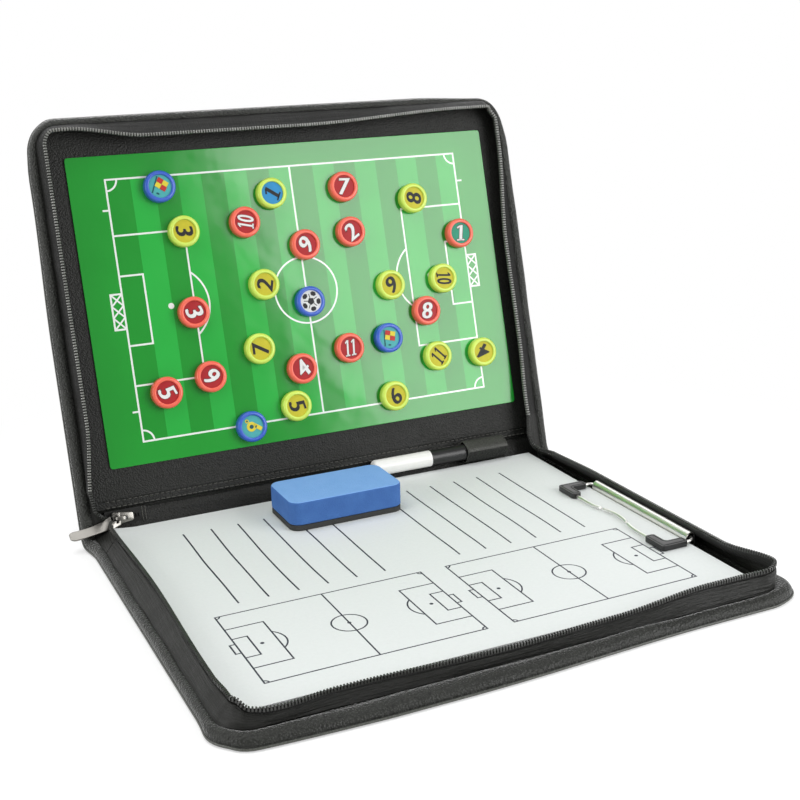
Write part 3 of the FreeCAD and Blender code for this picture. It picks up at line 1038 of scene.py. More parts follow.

# %% Spine lengths in the shared frame
blend_spans = (
    ("base_fold_spine", "base", "spine_lower", Vector((0.0, 115.0, SKIN_MID)) * MM,
     Vector((0.0, LOWER_CUT_Y, SKIN_MID)) * MM, ["spine_lower_cover"]),
    ("middle_fold_spine", "spine_lower", "spine_upper", Vector((0.0, 136.0, SKIN_MID)) * MM,
     on_slat(0.0, 8.6, SKIN_MID), ["spine_lower_lining", "spine_upper_lining"]),
    ("lid_fold_spine", "spine_upper", "lid", on_slat(0.0, UPPER_CUT_S, SKIN_MID),
     on_slat(0.0, 29.2, SKIN_MID), ["spine_upper_cover"]),
)
for name, body_a, body_b, start, end, nodes in blend_spans:
    piece = bpy.data.objects[name]
    tuple(start)
    tuple(end)
    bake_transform(piece)
    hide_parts(*nodes)
print("spine blends", len(blend_spans))

# %% [markdown]
# ## Printed pitch
# The board is a thin steel sheet under a glossy print. The markings are worked out from the
# distance to each line, so they stay crisp at any size. Both halves of a pitch mirror each other,
# and the rule uses |x| and |y| to draw every line only once.

# %% Pitch markings
def length_of(x, y):
    return (x * x + y * y).root()


def frame_line(x, y, half_x, half_y, width):
    """Outline of a rectangle about a middle."""
    return abs((abs(x) - half_x) | (abs(y) - half_y)) < width / 2.0


def ring(x, y, radius, width):
    return abs(length_of(x, y) - radius) < width / 2.0


def pitch_lines(x, y, half_x, half_y, width, box, area, goal, circle, spot, arc, spot_size, corner):
    """All markings of a football pitch, as a mask."""
    across, up = abs(x), abs(y)
    marks = frame_line(x, y, half_x, half_y, width)
    marks = marks | ((across < width / 2.0) * (up < half_y))
    marks = marks | ring(x, y, circle, width) | (length_of(x, y) < spot_size)
    for depth, half in (box, area):
        marks = marks | frame_line(across - (half_x - depth / 2.0), y, depth / 2.0, half, width)
    marks = marks | frame_line(across - (half_x + goal[0] / 2.0), y, goal[0] / 2.0, goal[1], width)
    from_spot = across - (half_x - spot)
    marks = marks | (length_of(from_spot, y) < spot_size)
    marks = marks | (ring(from_spot, y, arc, width) * (across < half_x - box[0]))
    inside = (across < half_x) * (up < half_y)
    return marks | (ring(across - half_x, up - half_y, corner, width) * inside)


print("pitch markings ready")

# %% Pitch board
BOARD = (289.0, 193.0)
BOARD_LOW, BOARD_TOP = 19.0, 5.5
PITCH_X, PITCH_Y, PITCH_MID = 121.5, 82.0, 115.0
LINE, STRIPE, STRIPE_START = 1.15, 15.27, -121.2
GOAL_DEPTH, GOAL_HALF = 7.2, 11.0


def pitch_finish():
    finish = Finish("pitch_print")
    origin = on_lid(0.0, PITCH_MID, BOARD_TOP) / MM
    unturn = Matrix.Rotation(-LEAN, 3, "X")
    local = finish.spot(shift=tuple(-(unturn @ origin)), turn=(-LEAN, 0.0, 0.0))
    x, y = finish.split(local)[:2]
    marks = pitch_lines(x, y, PITCH_X, PITCH_Y, LINE, box=(45.2, 47.0), area=(15.0, 21.8),
                        goal=(GOAL_DEPTH, GOAL_HALF), circle=21.8, spot=30.0, arc=25.0,
                        spot_size=1.9, corner=7.0)
    across, up = abs(x), abs(y)
    tick = (abs(up - 63.0) < LINE / 2.0) * (abs(across - (PITCH_X + 2.4)) < 1.8)
    cell = 2.0 * GOAL_HALF / 3.0
    net_y = ((y + GOAL_HALF) % cell) / cell - 0.5
    net_x = (across - PITCH_X - GOAL_DEPTH / 2.0) / GOAL_DEPTH
    net = (abs(abs(net_x) - abs(net_y)) < 0.1) * (abs(net_x) < 0.5) * (up < GOAL_HALF)
    stripe = ((x - STRIPE_START) % (2.0 * STRIPE)) < STRIPE
    inside = (across < PITCH_X) * (up < PITCH_Y)
    ink = finish.noise(local, 0.02, 2.0)
    dark = finish.mix(ink, paint(23, 140, 41), paint(29, 151, 47))
    light = finish.mix(ink, paint(33, 165, 59), paint(42, 181, 69))
    margin = finish.mix(ink, paint(27, 144, 44), paint(33, 158, 51))
    grass = finish.mix(inside, margin, finish.mix(stripe, light, dark))
    return finish.surface(Base_Color=finish.mix(marks | tick | net, grass, paint(236, 240, 236)),
                          Roughness=0.11 + 0.05 * finish.noise(local, 0.6), Specular_IOR_Level=0.55,
                          Normal=finish.bump(finish.noise(local, 0.035, 2.0), 0.25))


board = block("pitch_plate", (-BOARD[0] / 2.0, BOARD[0] / 2.0), (BOARD_LOW, BOARD_LOW + BOARD[1]),
              (PANEL_TOP, BOARD_TOP))
edit(board)
pick(board, "EDGE", lambda e: climb(e) > 0.5)
bevel(2.0, 6)
pick(board, "EDGE", lambda e: min(v.co.z for v in e.verts) > (BOARD_TOP - 0.1) * MM)
bevel(0.3, 2)
leave()
lay(board, frame_at(on_lid))
smooth(board, 40.0)
even_faces(board)
dress(board, pitch_finish())
carry(board, "lid", "pitch_print", "pitch_board")
print("board", [round(v, 4) for v in board.dimensions])

# %% [markdown]
# ## Writing pad
# The pad is a block of thin sheets. Its top is printed with two small pitches and two groups of
# ruled lines; its sides show the edges of the sheets as fine lines. The stack on the base is rigid.
# Its rear margin reaches over the fold, so it is a piece of its own.

# %% Pad finishes
PRINT_LOW, PRINT_HIGH = -84.0, -6.8
INK_LINE, RULE_PITCH = 1.05, 17.3


def pad_print():
    finish = Finish("pad_print")
    spot = finish.spot()
    wobble = finish.noise(spot, 0.012, 1.0)
    x, y = finish.split(spot)[:2]
    half_y = (PRINT_HIGH - PRINT_LOW) / 2.0
    groups = []
    for left, right in ((-130.1, -9.7), (6.1, 122.0)):
        px, py = x - (left + right) / 2.0, y - (PRINT_LOW + PRINT_HIGH) / 2.0
        pitch = pitch_lines(px, py, (right - left) / 2.0, half_y, INK_LINE * 0.88,
                            box=(21.0, half_y * 0.58), area=(8.2, half_y * 0.28),
                            goal=(3.0, half_y * 0.13), circle=9.4, spot=12.6, arc=12.8,
                            spot_size=1.1, corner=2.4)
        lines_x = px + (wobble - 0.5) * 3.0 + 2.5 * RULE_PITCH
        ruled = abs((lines_x + RULE_PITCH / 2.0) % RULE_PITCH - RULE_PITCH / 2.0) < INK_LINE / 2.0
        groups.append(pitch | (ruled * (abs(px) < 52.0) * (y > 3.9) * (y < 110.2)))
    fibre = finish.noise(spot, 0.5)
    paper = finish.mix(fibre, paint(214, 218, 217), paint(222, 226, 225))
    marks = (groups[0] | groups[1]) * (0.95 + 0.05 * fibre)
    return finish.surface(Base_Color=finish.mix(marks, paper, paint(12, 11, 42)),
                          Roughness=0.62 + 0.1 * (fibre - 0.5), Normal=finish.bump(fibre, 0.02))


def pad_edge():
    finish = Finish("pad_edge")
    layers = finish.noise(finish.spot((0.03, 0.03, 6.0)), 1.0, 3.0, 0.7)
    return finish.surface(Base_Color=finish.mix(layers, paint(196, 198, 198), paint(238, 240, 240)),
                          Roughness=0.8 + 0.1 * (layers - 0.5), Normal=finish.bump(layers, 0.12))


sheet_print, sheet_edge = pad_print(), pad_edge()
print("pad finishes ready")

# %% Pad and its rear margin
PAD_X, PAD_Z = (-150.5, 146.5), (5.0, 10.0)
PAD_FRONT, PAD_BACK, PAD_MARGIN_END = -103.0, 118.5, 136.0


def pad_lift(x, y):
    """Slow unevenness of the top sheets, in mm."""
    wave = 0.35 * math.sin(x / 47.0 + 0.6) * math.sin(y / 39.0)
    return wave + 1.6 * ease((-138.0 - x) / 12.0) * ease((y - 120.0) / 14.0)


def pad_block(name, front, back, *nodes):
    piece = block(name, PAD_X, (front, back), PAD_Z)
    edit(piece)
    everything()
    bpy.ops.mesh.subdivide(number_cuts=40)
    leave()
    for vertex in piece.data.vertices:
        x, y, z = (v / MM for v in vertex.co)
        vertex.co.z += pad_lift(x, y) * MM * (z - PAD_Z[0]) / (PAD_Z[1] - PAD_Z[0])
    dress(piece, sheet_print, sheet_edge, rule=lambda face: face.normal.z <= 0.5)
    smooth(piece, 40.0)
    carry(piece, "base", "paper", *nodes)
    return piece


pad_stack = pad_block("pad_stack", PAD_FRONT, PAD_BACK, "pad_sheets")
pad_margin = pad_block("pad_rear_margin", PAD_BACK, PAD_MARGIN_END)
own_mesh(pad_margin)
dress(bpy.data.objects["pad_backing_card"], grey_card)
print("pad", [round(v, 3) for v in pad_stack.dimensions])

# %% [markdown]
# ## Tokens
# A token is a turned plastic cap: a thick round rim, a sunk dish, and a printed disc in the dish.
# The cap is modelled once from a cylinder by inset, extrude and bevel. Numerals are text made into
# a mesh; a wider copy below gives the dark outline.

# %% Token finishes
def token_cap(name, *colour):
    return moulded("cap_" + name, paint(*colour), paint(*[min(v + 14, 255) for v in colour]), 0.3, 0.02, 0.15)


def printed(name, *colour):
    """Glossy printed disc."""
    finish = Finish(name)
    cloud = finish.noise(finish.spot(), 0.3)
    return finish.surface(Base_Color=finish.mix(cloud, paint(*colour), paint(*[v * 0.9 for v in colour])),
                          Roughness=0.42 + 0.12 * cloud, Specular_IOR_Level=0.3,
                          Normal=finish.bump(cloud, 0.12))


CAPS = {"red": (234, 96, 74), "yellow": (196, 222, 84), "blue": (46, 88, 188)}
DISCS = {"red": (176, 22, 30), "yellow": (206, 196, 38), "teal": (74, 176, 176), "green": (30, 150, 118),
         "sky": (42, 146, 208), "white": (234, 236, 234)}
INKS = {"white": (238, 238, 236), "black": (26, 26, 28), "dark": (92, 14, 20), "yellow": (232, 214, 60),
        "red": (196, 44, 44), "deep": (16, 84, 92)}
caps = {name: token_cap(name, *colour) for name, colour in CAPS.items()}
discs = {name: printed("disc_" + name, *colour) for name, colour in DISCS.items()}
inks = {name: printed("ink_" + name, *colour) for name, colour in INKS.items()}
print("token finishes", len(caps) + len(discs) + len(inks))

# %% The blank cap
TOKEN_R, TOKEN_H, TOKEN_RIM, TOKEN_DISH = 10.0, 6.0, 2.7, 1.1
DISH_Z = TOKEN_H - TOKEN_DISH
blank = add("token_blank", "cylinder", vertices=64, radius=TOKEN_R * MM, depth=TOKEN_H * MM,
            location=(0.0, 0.0, TOKEN_H / 2.0 * MM))
rest(blank)
edit(blank)
pick(blank, "FACE", faces_up)
inset(TOKEN_RIM)
draw_out(0.0, 0.0, -TOKEN_DISH)
inset(0.5)


def circle_edge(radius, z):
    """Test for the level edges of a circle at a height."""
    def test(edge):
        point = middle(edge) / MM
        return climb(edge) < 1e-3 and abs(point.z - z) < 0.05 and abs(math.hypot(*point.xy) - radius) < 0.1
    return test


for radius, z, width, segments in ((TOKEN_R, TOKEN_H, 1.7, 6), (TOKEN_R - TOKEN_RIM, TOKEN_H, 0.7, 4),
                                   (TOKEN_R, 0.0, 0.5, 2)):
    pick(blank, "EDGE", circle_edge(radius, z))
    bevel(width, segments)
leave()
smooth(blank, 40.0)
print("token blank", len(blank.data.polygons), "faces")

# %% Numerals and small symbols
NUMERAL, HALF_STEP = 15.6, 0.4


def flat_digit(digit, widen, rise, finish):
    """A digit as a thin mesh on the disc. It is laid down twice, side by side, so that its upright
    strokes become the thick ones."""
    bpy.ops.object.select_all(action="DESELECT")
    bpy.ops.object.text_add()
    text = bpy.context.object.data
    text.body = digit
    text.size, text.offset, text.extrude = NUMERAL * MM, widen * MM, rise * MM
    text.resolution_u = 3
    bpy.ops.object.convert(target="MESH")
    piece = bpy.context.object
    corners = [Vector(c) for c in piece.bound_box]
    centre = (corners[0] + corners[6]) / 2.0
    piece.data.transform(Matrix.Translation((-centre.x - HALF_STEP * MM, -centre.y, DISH_Z * MM)))
    dress(piece, finish)
    twin = copy_of(piece, "mark")
    twin.data.transform(Matrix.Translation((2.0 * HALF_STEP * MM, 0.0, 0.01 * MM)))
    return join("mark", [piece, twin])


def flat_mark(finish, kind, x, y, rise, turn, scale, **size):
    """Thin shape with softened edges, lying on the printed disc."""
    piece = add("mark", kind, location=(x * MM, y * MM, (DISH_Z + rise / 2.0) * MM),
                rotation=(0.0, 0.0, math.radians(turn)), **size)
    piece.scale = scale
    rest(piece)
    soften(piece, 0.08, 1)
    dress(piece, finish)
    return piece


def flat_disc(finish, radius, x=0.0, y=0.0, rise=0.2, sides=24, turn=0.0, squash=1.0):
    return flat_mark(finish, "cylinder", x, y, rise, turn, (1.0, squash, 1.0), vertices=sides,
                     radius=radius * MM, depth=rise * MM)


def flat_bar(finish, x, y, wide, high, rise=0.2, turn=0.0):
    return flat_mark(finish, "cube", x, y, rise, turn, (wide * MM, high * MM, rise * MM), size=1.0)


def flat_one(widen, rise, finish):
    """The digit 1: a stem with a foot and a flag."""
    w = 2.0 * widen
    return join("mark", [flat_bar(finish, 0.3, 0.0, 2.2 + w, 10.6 + w, rise),
                         flat_bar(finish, 0.3, -4.85, 5.6 + w, 0.9 + w, rise),
                         flat_bar(finish, -1.5, 4.2, 2.8 + w, 1.1 + w, rise, 30.0)])


def numeral(kind, body):
    """Slanting digits, white with a dark outline on red and black elsewhere."""
    layers = [(0.05, 0.12, inks["black"])]
    if kind == "red":
        layers = [(0.4, 0.06, inks["dark"]), (0.05, 0.16, inks["white"])]
    marks = []
    for k, digit in enumerate(body):
        slant = Matrix.Identity(4)
        slant[0][1] = 0.14
        if len(body) == 2:
            slant[0][0], slant[0][3] = 0.56, (k - 0.5) * 4.4 * MM
        for layer in layers:
            mark = flat_one(*layer) if digit == "1" else flat_digit(digit, *layer)
            mark.data.transform(slant)
            marks.append(mark)
    return marks


print("numerals are", NUMERAL, "mm text")

# %% Flag, whistle and ball
def flag_mark():
    """A pole with a flag in four quarters, on a patch of grass."""
    marks = [flat_bar(inks["deep"], -3.6, -0.4, 0.8, 11.0, turn=5.0),
             flat_disc(inks["deep"], 1.1, 0.2, -4.9, squash=0.5)]
    quarters = (("red", -1.4, 3.3), ("yellow", 2.3, 2.8), ("yellow", -1.5, 0.1), ("red", 2.2, -0.4))
    return marks + [flat_bar(inks[ink], x, y, 3.6, 3.1, 0.25, -8.0) for ink, x, y in quarters]


def whistle_mark():
    """A round whistle with its mouthpiece and ring."""
    yellow, deep = inks["yellow"], inks["deep"]
    return [flat_disc(yellow, 3.2, -0.6, -0.5), flat_bar(yellow, 3.2, 1.3, 6.0, 2.6),
            flat_disc(deep, 1.4, -0.6, -0.5, 0.28), flat_bar(deep, 2.0, 1.0, 0.9, 1.6, 0.28),
            flat_disc(yellow, 1.3, -4.9, 1.2), flat_disc(deep, 0.65, -4.9, 1.2, 0.28)]


def ball_mark():
    """Dark five-sided panels and the seams between them."""
    black = inks["black"]
    marks = [flat_disc(black, 2.5, sides=5, turn=18.0)]
    for seam in range(90, 450, 72):
        a, b = math.radians(seam), math.radians(seam + 36)
        marks.append(flat_bar(black, 3.6 * math.cos(a), 3.6 * math.sin(a), 2.8, 0.5, 0.12, seam))
        marks.append(flat_disc(black, 1.6, 5.2 * math.cos(b), 5.2 * math.sin(b), sides=6, turn=seam + 36,
                               squash=1.3))
    return marks


SYMBOLS = {"ball": ball_mark, "flag": flag_mark, "whistle": whistle_mark}
print("symbols", list(SYMBOLS))

# %% [markdown]
# Each token stands at its own place on the board and shows its numeral turned as a hand left it.
# The places are shares of the board's width and height, as the CAD has them.

# %% Set out the tokens
# name: share across, share up, turn of the numeral in degrees, disc
TOKENS = {
    "red_1": (0.4044, 0.6339, -3, "green"), "red_2": (0.1240, 0.6782, 32, "red"),
    "red_3": (-0.2715, 0.4670, -72, "red"), "red_4": (-0.0404, 0.2335, 38, "red"),
    "red_5": (-0.3569, 0.2193, -68, "red"), "red_6": (-0.2544, 0.2503, 135, "red"),
    "red_7": (0.1211, 0.8344, -4, "red"), "red_8": (0.2892, 0.3739, -4, "red"),
    "red_9": (0.0085, 0.6501, 48, "red"), "red_10": (-0.1263, 0.7447, 84, "red"),
    "red_11": (0.0813, 0.2806, 3, "red"), "yellow_1": (-0.0546, 0.8330, 64, "sky"),
    "yellow_2": (-0.1021, 0.5313, 76, "yellow"), "yellow_3": (-0.2677, 0.7333, -86, "yellow"),
    "yellow_4": (0.4234, 0.1994, 150, "yellow"), "yellow_5": (-0.0665, 0.1110, -78, "yellow"),
    "yellow_6": (0.1776, 0.0920, 35, "yellow"), "yellow_7": (-0.1337, 0.3196, 90, "yellow"),
    "yellow_8": (0.2938, 0.7736, 84, "yellow"), "yellow_9": (0.2063, 0.4792, 28, "yellow"),
    "yellow_10": (0.3439, 0.4806, -88, "yellow"), "yellow_11": (0.3027, 0.2090, 52, "yellow"),
    "blue_ball": (0.0012, 0.4563, 12, "white"), "blue_flag_left": (-0.3069, 0.8849, -28, "teal"),
    "blue_flag_right": (0.1822, 0.2965, -8, "teal"), "blue_whistle": (-0.1780, 0.0660, -34, "teal"),
}


def dish_floor(face):
    return abs(face.center.z - DISH_Z * MM) < 0.02 * MM and faces_up(face)


for name, (across, up, turn, disc) in TOKENS.items():
    colour, label = name.split("_")[:2]
    body = "token_" + name
    cap = copy_of(blank, "token_blank_copy")
    dress(cap, caps[colour], discs[disc], rule=dish_floor)
    marks = SYMBOLS[label]() if label in SYMBOLS else numeral("red" if disc == "green" else colour, label)
    for mark in marks:
        mark.data.transform(Matrix.Rotation(math.radians(turn), 4, "Z"))
    token = join(body + "_dressed", [cap] + marks)
    place = Vector((across * BOARD[0], BOARD_LOW + up * BOARD[1], BOARD_TOP)) * MM
    lay(token, frame_at(on_lid) @ Matrix.Translation(place))
    carry(token, body, "token_" + colour, body)
print("tokens", len(TOKENS))

# %% [markdown]
# ## Eraser
# A block of dense foam on a felt sole. The foam starts as a cube with rounded upright corners and a
# softened top edge. Its top is coloured lighter than its sides, as painted light from above.

# %% Foam and felt finishes
def foam_finish(name, dark, light):
    finish = Finish(name)
    spot = finish.spot()
    pores = finish.cells(spot, 1.6, "F1")
    cloud = finish.noise(spot, 0.12)
    fine = finish.noise(spot, 1.4)
    return finish.surface(Base_Color=finish.mix(cloud * 0.5 + fine * 0.4, dark, light),
                          Roughness=0.8 + 0.15 * (fine - 0.5), Normal=finish.bump(pores * 0.6 + fine, 0.24))


def felt_finish():
    finish = Finish("dark_felt")
    hairs = finish.noise(finish.spot(), 2.6, 4.0, 0.7)
    return finish.surface(Base_Color=finish.mix(hairs, paint(30, 30, 30), paint(70, 70, 68)),
                          Roughness=0.9 + 0.1 * (hairs - 0.5), Normal=finish.bump(hairs, 0.35))


foam_side = foam_finish("foam_side", paint(36, 80, 148), paint(72, 122, 188))
# The top's lighter colour is painted light from above.
foam_top = foam_finish("foam_top", paint(104, 154, 216), paint(136, 180, 234))
print("eraser finishes ready")

# %% Foam block and felt sole
ERASER_MID, ERASER_SIZE, ERASER_CORNER = (-15.5, 101.0), (75.0, 42.0), 7.0
FELT_LOW, FELT_TOP, FOAM_TOP = 10.0, 13.5, 28.5


def eraser_block(name, low, high, edge_round, bulge):
    spans = [(mid - size / 2.0, mid + size / 2.0) for mid, size in zip(ERASER_MID, ERASER_SIZE)]
    piece = block(name, *spans, (low, high))
    edit(piece)
    pick(piece, "EDGE", lambda e: climb(e) > 1.0)
    bevel(ERASER_CORNER, 10)
    pick(piece, "EDGE", lambda e: climb(e) < 1e-3)
    bevel(edge_round, 4)
    leave()
    for vertex in piece.data.vertices:
        side = 1.0 - min(1.0, abs(vertex.co.z / MM - (low + high) / 2.0) * 2.0 / (high - low)) ** 2
        for axis, centre in enumerate(ERASER_MID):
            vertex.co[axis] += math.copysign(bulge * side, vertex.co[axis] / MM - centre) * MM
    smooth(piece, 40.0)
    even_faces(piece)
    return piece


foam = eraser_block("eraser_foam_block", FELT_TOP, FOAM_TOP, 1.1, -0.3)
dress(foam, foam_side, foam_top, rule=lambda face: face.normal.z > 0.7)
carry(foam, "eraser", "blue_foam", "eraser_foam")
felt = eraser_block("eraser_felt_sole", FELT_LOW, FELT_TOP, 0.5, 0.0)
dress(felt, felt_finish())
carry(felt, "eraser", "dark_felt", "eraser_felt")
tuple(v * MM for v in ERASER_SIZE)
print("eraser", [round(v, 4) for v in foam.dimensions])

# %% [markdown]
# ## Marker, clip wire and zip end
# These hard pieces have their true shape in the CAD already, so they keep their solids and get a
# finish. The strap loop, the tips of the clip, the slider and its pull have soft edges and bends,
# so they get modelled pieces of their own in the next cells.

# %% Finishes of the carried-over nodes
for node, finish in (("pen_barrel", white_plastic), ("pen_nib", black_plastic), ("pen_cap", black_plastic),
                     ("clip_barrel", bright_steel), ("clip_bail", bright_steel)):
    dress(bpy.data.objects[node], finish)
print("carried-over nodes have finishes")

# %% [markdown]
# ## Strap loop
# A strap is sewn flat to the spine, goes once round the marker and ends under itself. Its path is
# a straight tab and then a turn of a circle; the strap is lofted along the marker and thickened.

# %% Loop round the marker
LOOP_X = (96.5, 127.5)
LOOP_S, LOOP_N, LOOP_R = 15.3, 10.1, 6.35
LOOP_LOW = LOOP_N - LOOP_R
LOOP_TURN = math.radians(42.0)


def flattened(v):
    """Turns a circle into a round-cornered square, as a flat strap lies."""
    return math.copysign(abs(v) ** 0.62, v)


loop_path = [(21.4 - 1.2 * k, LOOP_LOW) for k in range(5)]
for k in range(41):
    a = math.radians(-90.0 - 8.8 * k) - LOOP_TURN
    u, v = LOOP_R * flattened(math.cos(a)), LOOP_R * flattened(math.sin(a))
    n = LOOP_N + u * math.sin(LOOP_TURN) + v * math.cos(LOOP_TURN)
    loop_path.append((LOOP_S + u * math.cos(LOOP_TURN) - v * math.sin(LOOP_TURN), max(LOOP_LOW, n)))
loop_girth = runs(loop_path)
loop_stops = steps(*LOOP_X, 3.0)
strap = loft("pen_strap", len(loop_stops), len(loop_path),
             lambda i, j: on_slat(loop_stops[i], *loop_path[j]), lambda i, j: (loop_stops[i], loop_girth[j]))
thicken(strap, 0.95)
soften(strap, 0.2)
smooth(strap, 40.0)
up_slat = (on_slat(0.0, 1.0, 0.0) - on_slat(0.0, 0.0, 0.0)) / MM


def strap_face(face):
    """Cut ends painted pale as a painted highlight, undersides in the dark lining as painted shade, and the
    strap's lighter face.
    """
    if abs(face.normal.x) > 0.6:
        return 1
    return 2 if face.normal.dot(up_slat) < -0.2 else 0


# Pale ends and dark undersides here are painted highlight and painted shade.
dress(strap, strap_skin, welt_skin, lining_skin, rule=strap_face)
carry(strap, "spine_upper", "elastic", "pen_loop")
print("strap", len(strap.data.polygons), "faces")

# %% [markdown]
# ## Tips of the clip
# Each corner of the wire is sleeved by a moulded L. A plane gives one leg, an edge pulled out of it
# gives the other, and both are raised together. The upright corners are rounded, the top is sunk
# inside a narrow lip as on the real tips, and all edges are softened.

# %% Corner tips
BAIL_X, TIP_HALF, TIP_LEG, TIP_LOW, TIP_HIGH = 128.5, 3.3, 15.0, 10.3, 13.6


def corner_tip(name, node, arm_y, inward):
    piece = block(name, (BAIL_X - TIP_HALF, BAIL_X + TIP_LEG), (arm_y - TIP_HALF, arm_y + TIP_HALF),
                  (TIP_LOW, TIP_LOW), kind="plane")
    leg_x, side_y = (BAIL_X + TIP_HALF) * MM, (arm_y + inward * TIP_HALF) * MM
    edit(piece)
    everything()
    bpy.ops.mesh.bisect(plane_co=(leg_x, 0.0, 0.0), plane_no=(1.0, 0.0, 0.0))
    pick(piece, "EDGE",
         lambda e: all(abs(v.co.y - side_y) < 1e-5 for v in e.verts) and middle(e).x < leg_x)
    draw_out(0.0, inward * (TIP_LEG - TIP_HALF), 0.0)
    everything()
    draw_out(0.0, 0.0, TIP_HIGH - TIP_LOW)
    everything()
    bpy.ops.mesh.dissolve_limited(angle_limit=0.01)
    bpy.ops.mesh.normals_make_consistent(inside=False)
    pick(piece, "EDGE", lambda e: climb(e) > 1.0)
    bevel(2.0, 6)
    pick(piece, "FACE", faces_up)
    inset(1.1)
    draw_out(0.0, 0.0, -0.4)
    inset(0.6)
    bpy.ops.transform.translate(value=(0.0, 0.0, 0.45 * MM))
    leave()
    soften(piece, 0.45, 3)
    smooth(piece, 45.0)
    dress(piece, black_plastic)
    carry(piece, "clip_bail", "black_plastic", node)


corner_tip("rear_tip", "clip_tip_back", 60.0, -1.0)
corner_tip("front_tip", "clip_tip_front", -46.0, 1.0)
print("two corner tips")

# %% [markdown]
# ## Closed end of the zip
# Past the slider the two rows are closed. The tape ends a little further on and is held down by two
# short rows of stitches across it. Tape and stitches are one sewn piece, the closed teeth another.

# %% Closed end
END_S, END_N, END_HALF = 13.3, 3.6, 4.8
end_stops = steps(-152.0, -126.0, 1.0)


def end_spot(i, j):
    """The tape dips a little at its free edges."""
    v = j / 4.0 - 1.0
    return on_slat(end_stops[i], END_S + END_HALF * v, END_N + 0.1 - 0.25 * v * v)


end_tape = loft("closed_tape", len(end_stops), 9, end_spot, lambda i, j: (end_stops[i], j * END_HALF / 4.0))
thicken(end_tape, TAPE_THICK)
smooth(end_tape, 50.0)
dress(end_tape, tape_cloth)
tacks = [stitch_row("tack", [on_slat(x, END_S - 4.4 + 2.2 * k, END_N + 0.4) for k in range(5)])
         for x in (-128.6, -126.6)]
end_tape = join("closed_tape", [end_tape] + tacks)
end_line = [on_slat(x, END_S, END_N + 0.8) for x in steps(-150.0, -130.0, 2.0)]
end_teeth = tooth_row("closed_teeth", end_line, [upright(on_slat)] * len(end_line))
dress(end_teeth, black_plastic)
carry(end_tape, "spine_upper", "zip_tape", "zip_end_tape")
carry(end_teeth, "spine_upper", "zip_teeth", "zip_end_teeth")
print("closed end with", len(end_teeth.data.polygons), "faces of teeth")

# %% [markdown]
# ## Slider and pull
# The slider is a small casting: a body that narrows towards the closed end, hollow where the teeth
# run in, with an arch on top. The pull is a bent strip with an eye that hooks under the arch; it
# hangs down over the rim, so it droops and turns its face upwards on the way out.

# %% Slider
SLIDER_X, SLIDER_S, SLIDER_N = (-148.0, -135.0), (9.1, 17.5), (4.4, 7.6)
slider = block("slider_casting", SLIDER_X, SLIDER_S, SLIDER_N)
edit(slider)
pick(slider, "VERT", lambda v: v.co.x > -140.0 * MM)
bpy.ops.transform.resize(value=(1.0, 0.6, 1.0))
pick(slider, "FACE", lambda f: f.normal.x < -0.9)
inset(0.7)
draw_out(6.0, 0.0, 0.0)
pick(slider, "EDGE", lambda e: climb(e) > 2.5)
bevel(1.3, 5)
leave()
outward(slider)
soften(slider, 0.3, angle=50.0)
smooth(slider, 40.0)
lay(slider, frame_at(on_slat))

ARCH_X, ARCH_HALF, ARCH_LOW, ARCH_HIGH, ARCH_STEPS = -142.9, 3.7, SLIDER_N[1] - 0.4, 10.7, 17


def arch_spot(i, j):
    a = math.pi * i / (ARCH_STEPS - 1)
    n = ARCH_LOW + (ARCH_HIGH - ARCH_LOW) * math.sin(a) ** 0.7
    return on_slat(ARCH_X - ARCH_HALF * math.cos(a), sum(SLIDER_S) / 2.0 + (j - 2) * 0.6, n)


arch = loft("slider_arch", ARCH_STEPS, 5, arch_spot, lambda i, j: (i, j))
thicken(arch, 1.1)
soften(arch, 0.25)
smooth(arch, 45.0)
slider = join("slider_casting", [slider, arch])
dress(slider, zip_metal)
carry(slider, "zip_slider", "zip_metal", "zip_slider")
print("slider", len(slider.data.polygons), "faces")

# %% Pull
PULL_START, PULL_END, PULL_N, PULL_S = -143.6, -175.6, 8.8, 13.3
PULL_HALF, PULL_COUNT, EYE_X, EYE_R = 4.0, 45, (-149.5, -145.0), 1.9
PULL_ACROSS = (-1.0, -0.8, -0.475, 0.0, 0.475, 0.8, 1.0)


def pull_spot(i, j):
    u = i / (PULL_COUNT - 1)
    x = PULL_START + (PULL_END - PULL_START) * u
    end = max(0.0, 3.0 - (x - PULL_END)) / 3.0
    wide = PULL_HALF * (1.0 - 0.12 * ease((u - 0.2) / 0.4)) * math.sqrt(max(0.0, 1.0 - 0.72 * end * end))
    turn = math.radians(46.0) * ease(u / 0.45)
    droop = 6.0 * (1.0 - (1.0 - u) ** 1.8)
    arch_out = 1.6 * math.sin(math.pi * u)
    v = PULL_ACROSS[j] * wide
    return on_slat(x, PULL_S - droop + v * math.cos(turn), PULL_N + arch_out - v * math.sin(turn))


def in_eye(face):
    """Faces of the strip that lie over the eye."""
    centre = face.calc_center_median()
    x = centre.x / MM
    return EYE_X[0] < x < EYE_X[1] and (centre - on_slat(x, PULL_S, PULL_N)).length < EYE_R * MM


pull = loft("pull_strip", PULL_COUNT, len(PULL_ACROSS), pull_spot, lambda i, j: (i * 0.7, j * 1.3))
edit(pull)
pick(pull, "FACE", in_eye)
bpy.ops.mesh.delete(type="FACE")
leave()
thicken(pull, 1.1)
soften(pull, 0.3, angle=50.0)
smooth(pull, 45.0)
dress(pull, zip_metal)
carry(pull, "zip_pull", "zip_metal", "zip_pull")
print("pull", [round(v, 4) for v in pull.dimensions])

# %% [markdown]
# ## Stage, light and camera
# A pale floor takes the shadow. A low softbox at the front right lights the board and is the glare
# seen in its gloss; a wide overhead panel lights the pad. The camera stands where the photograph
# was taken from, worked out from the straight lines of pad and board.

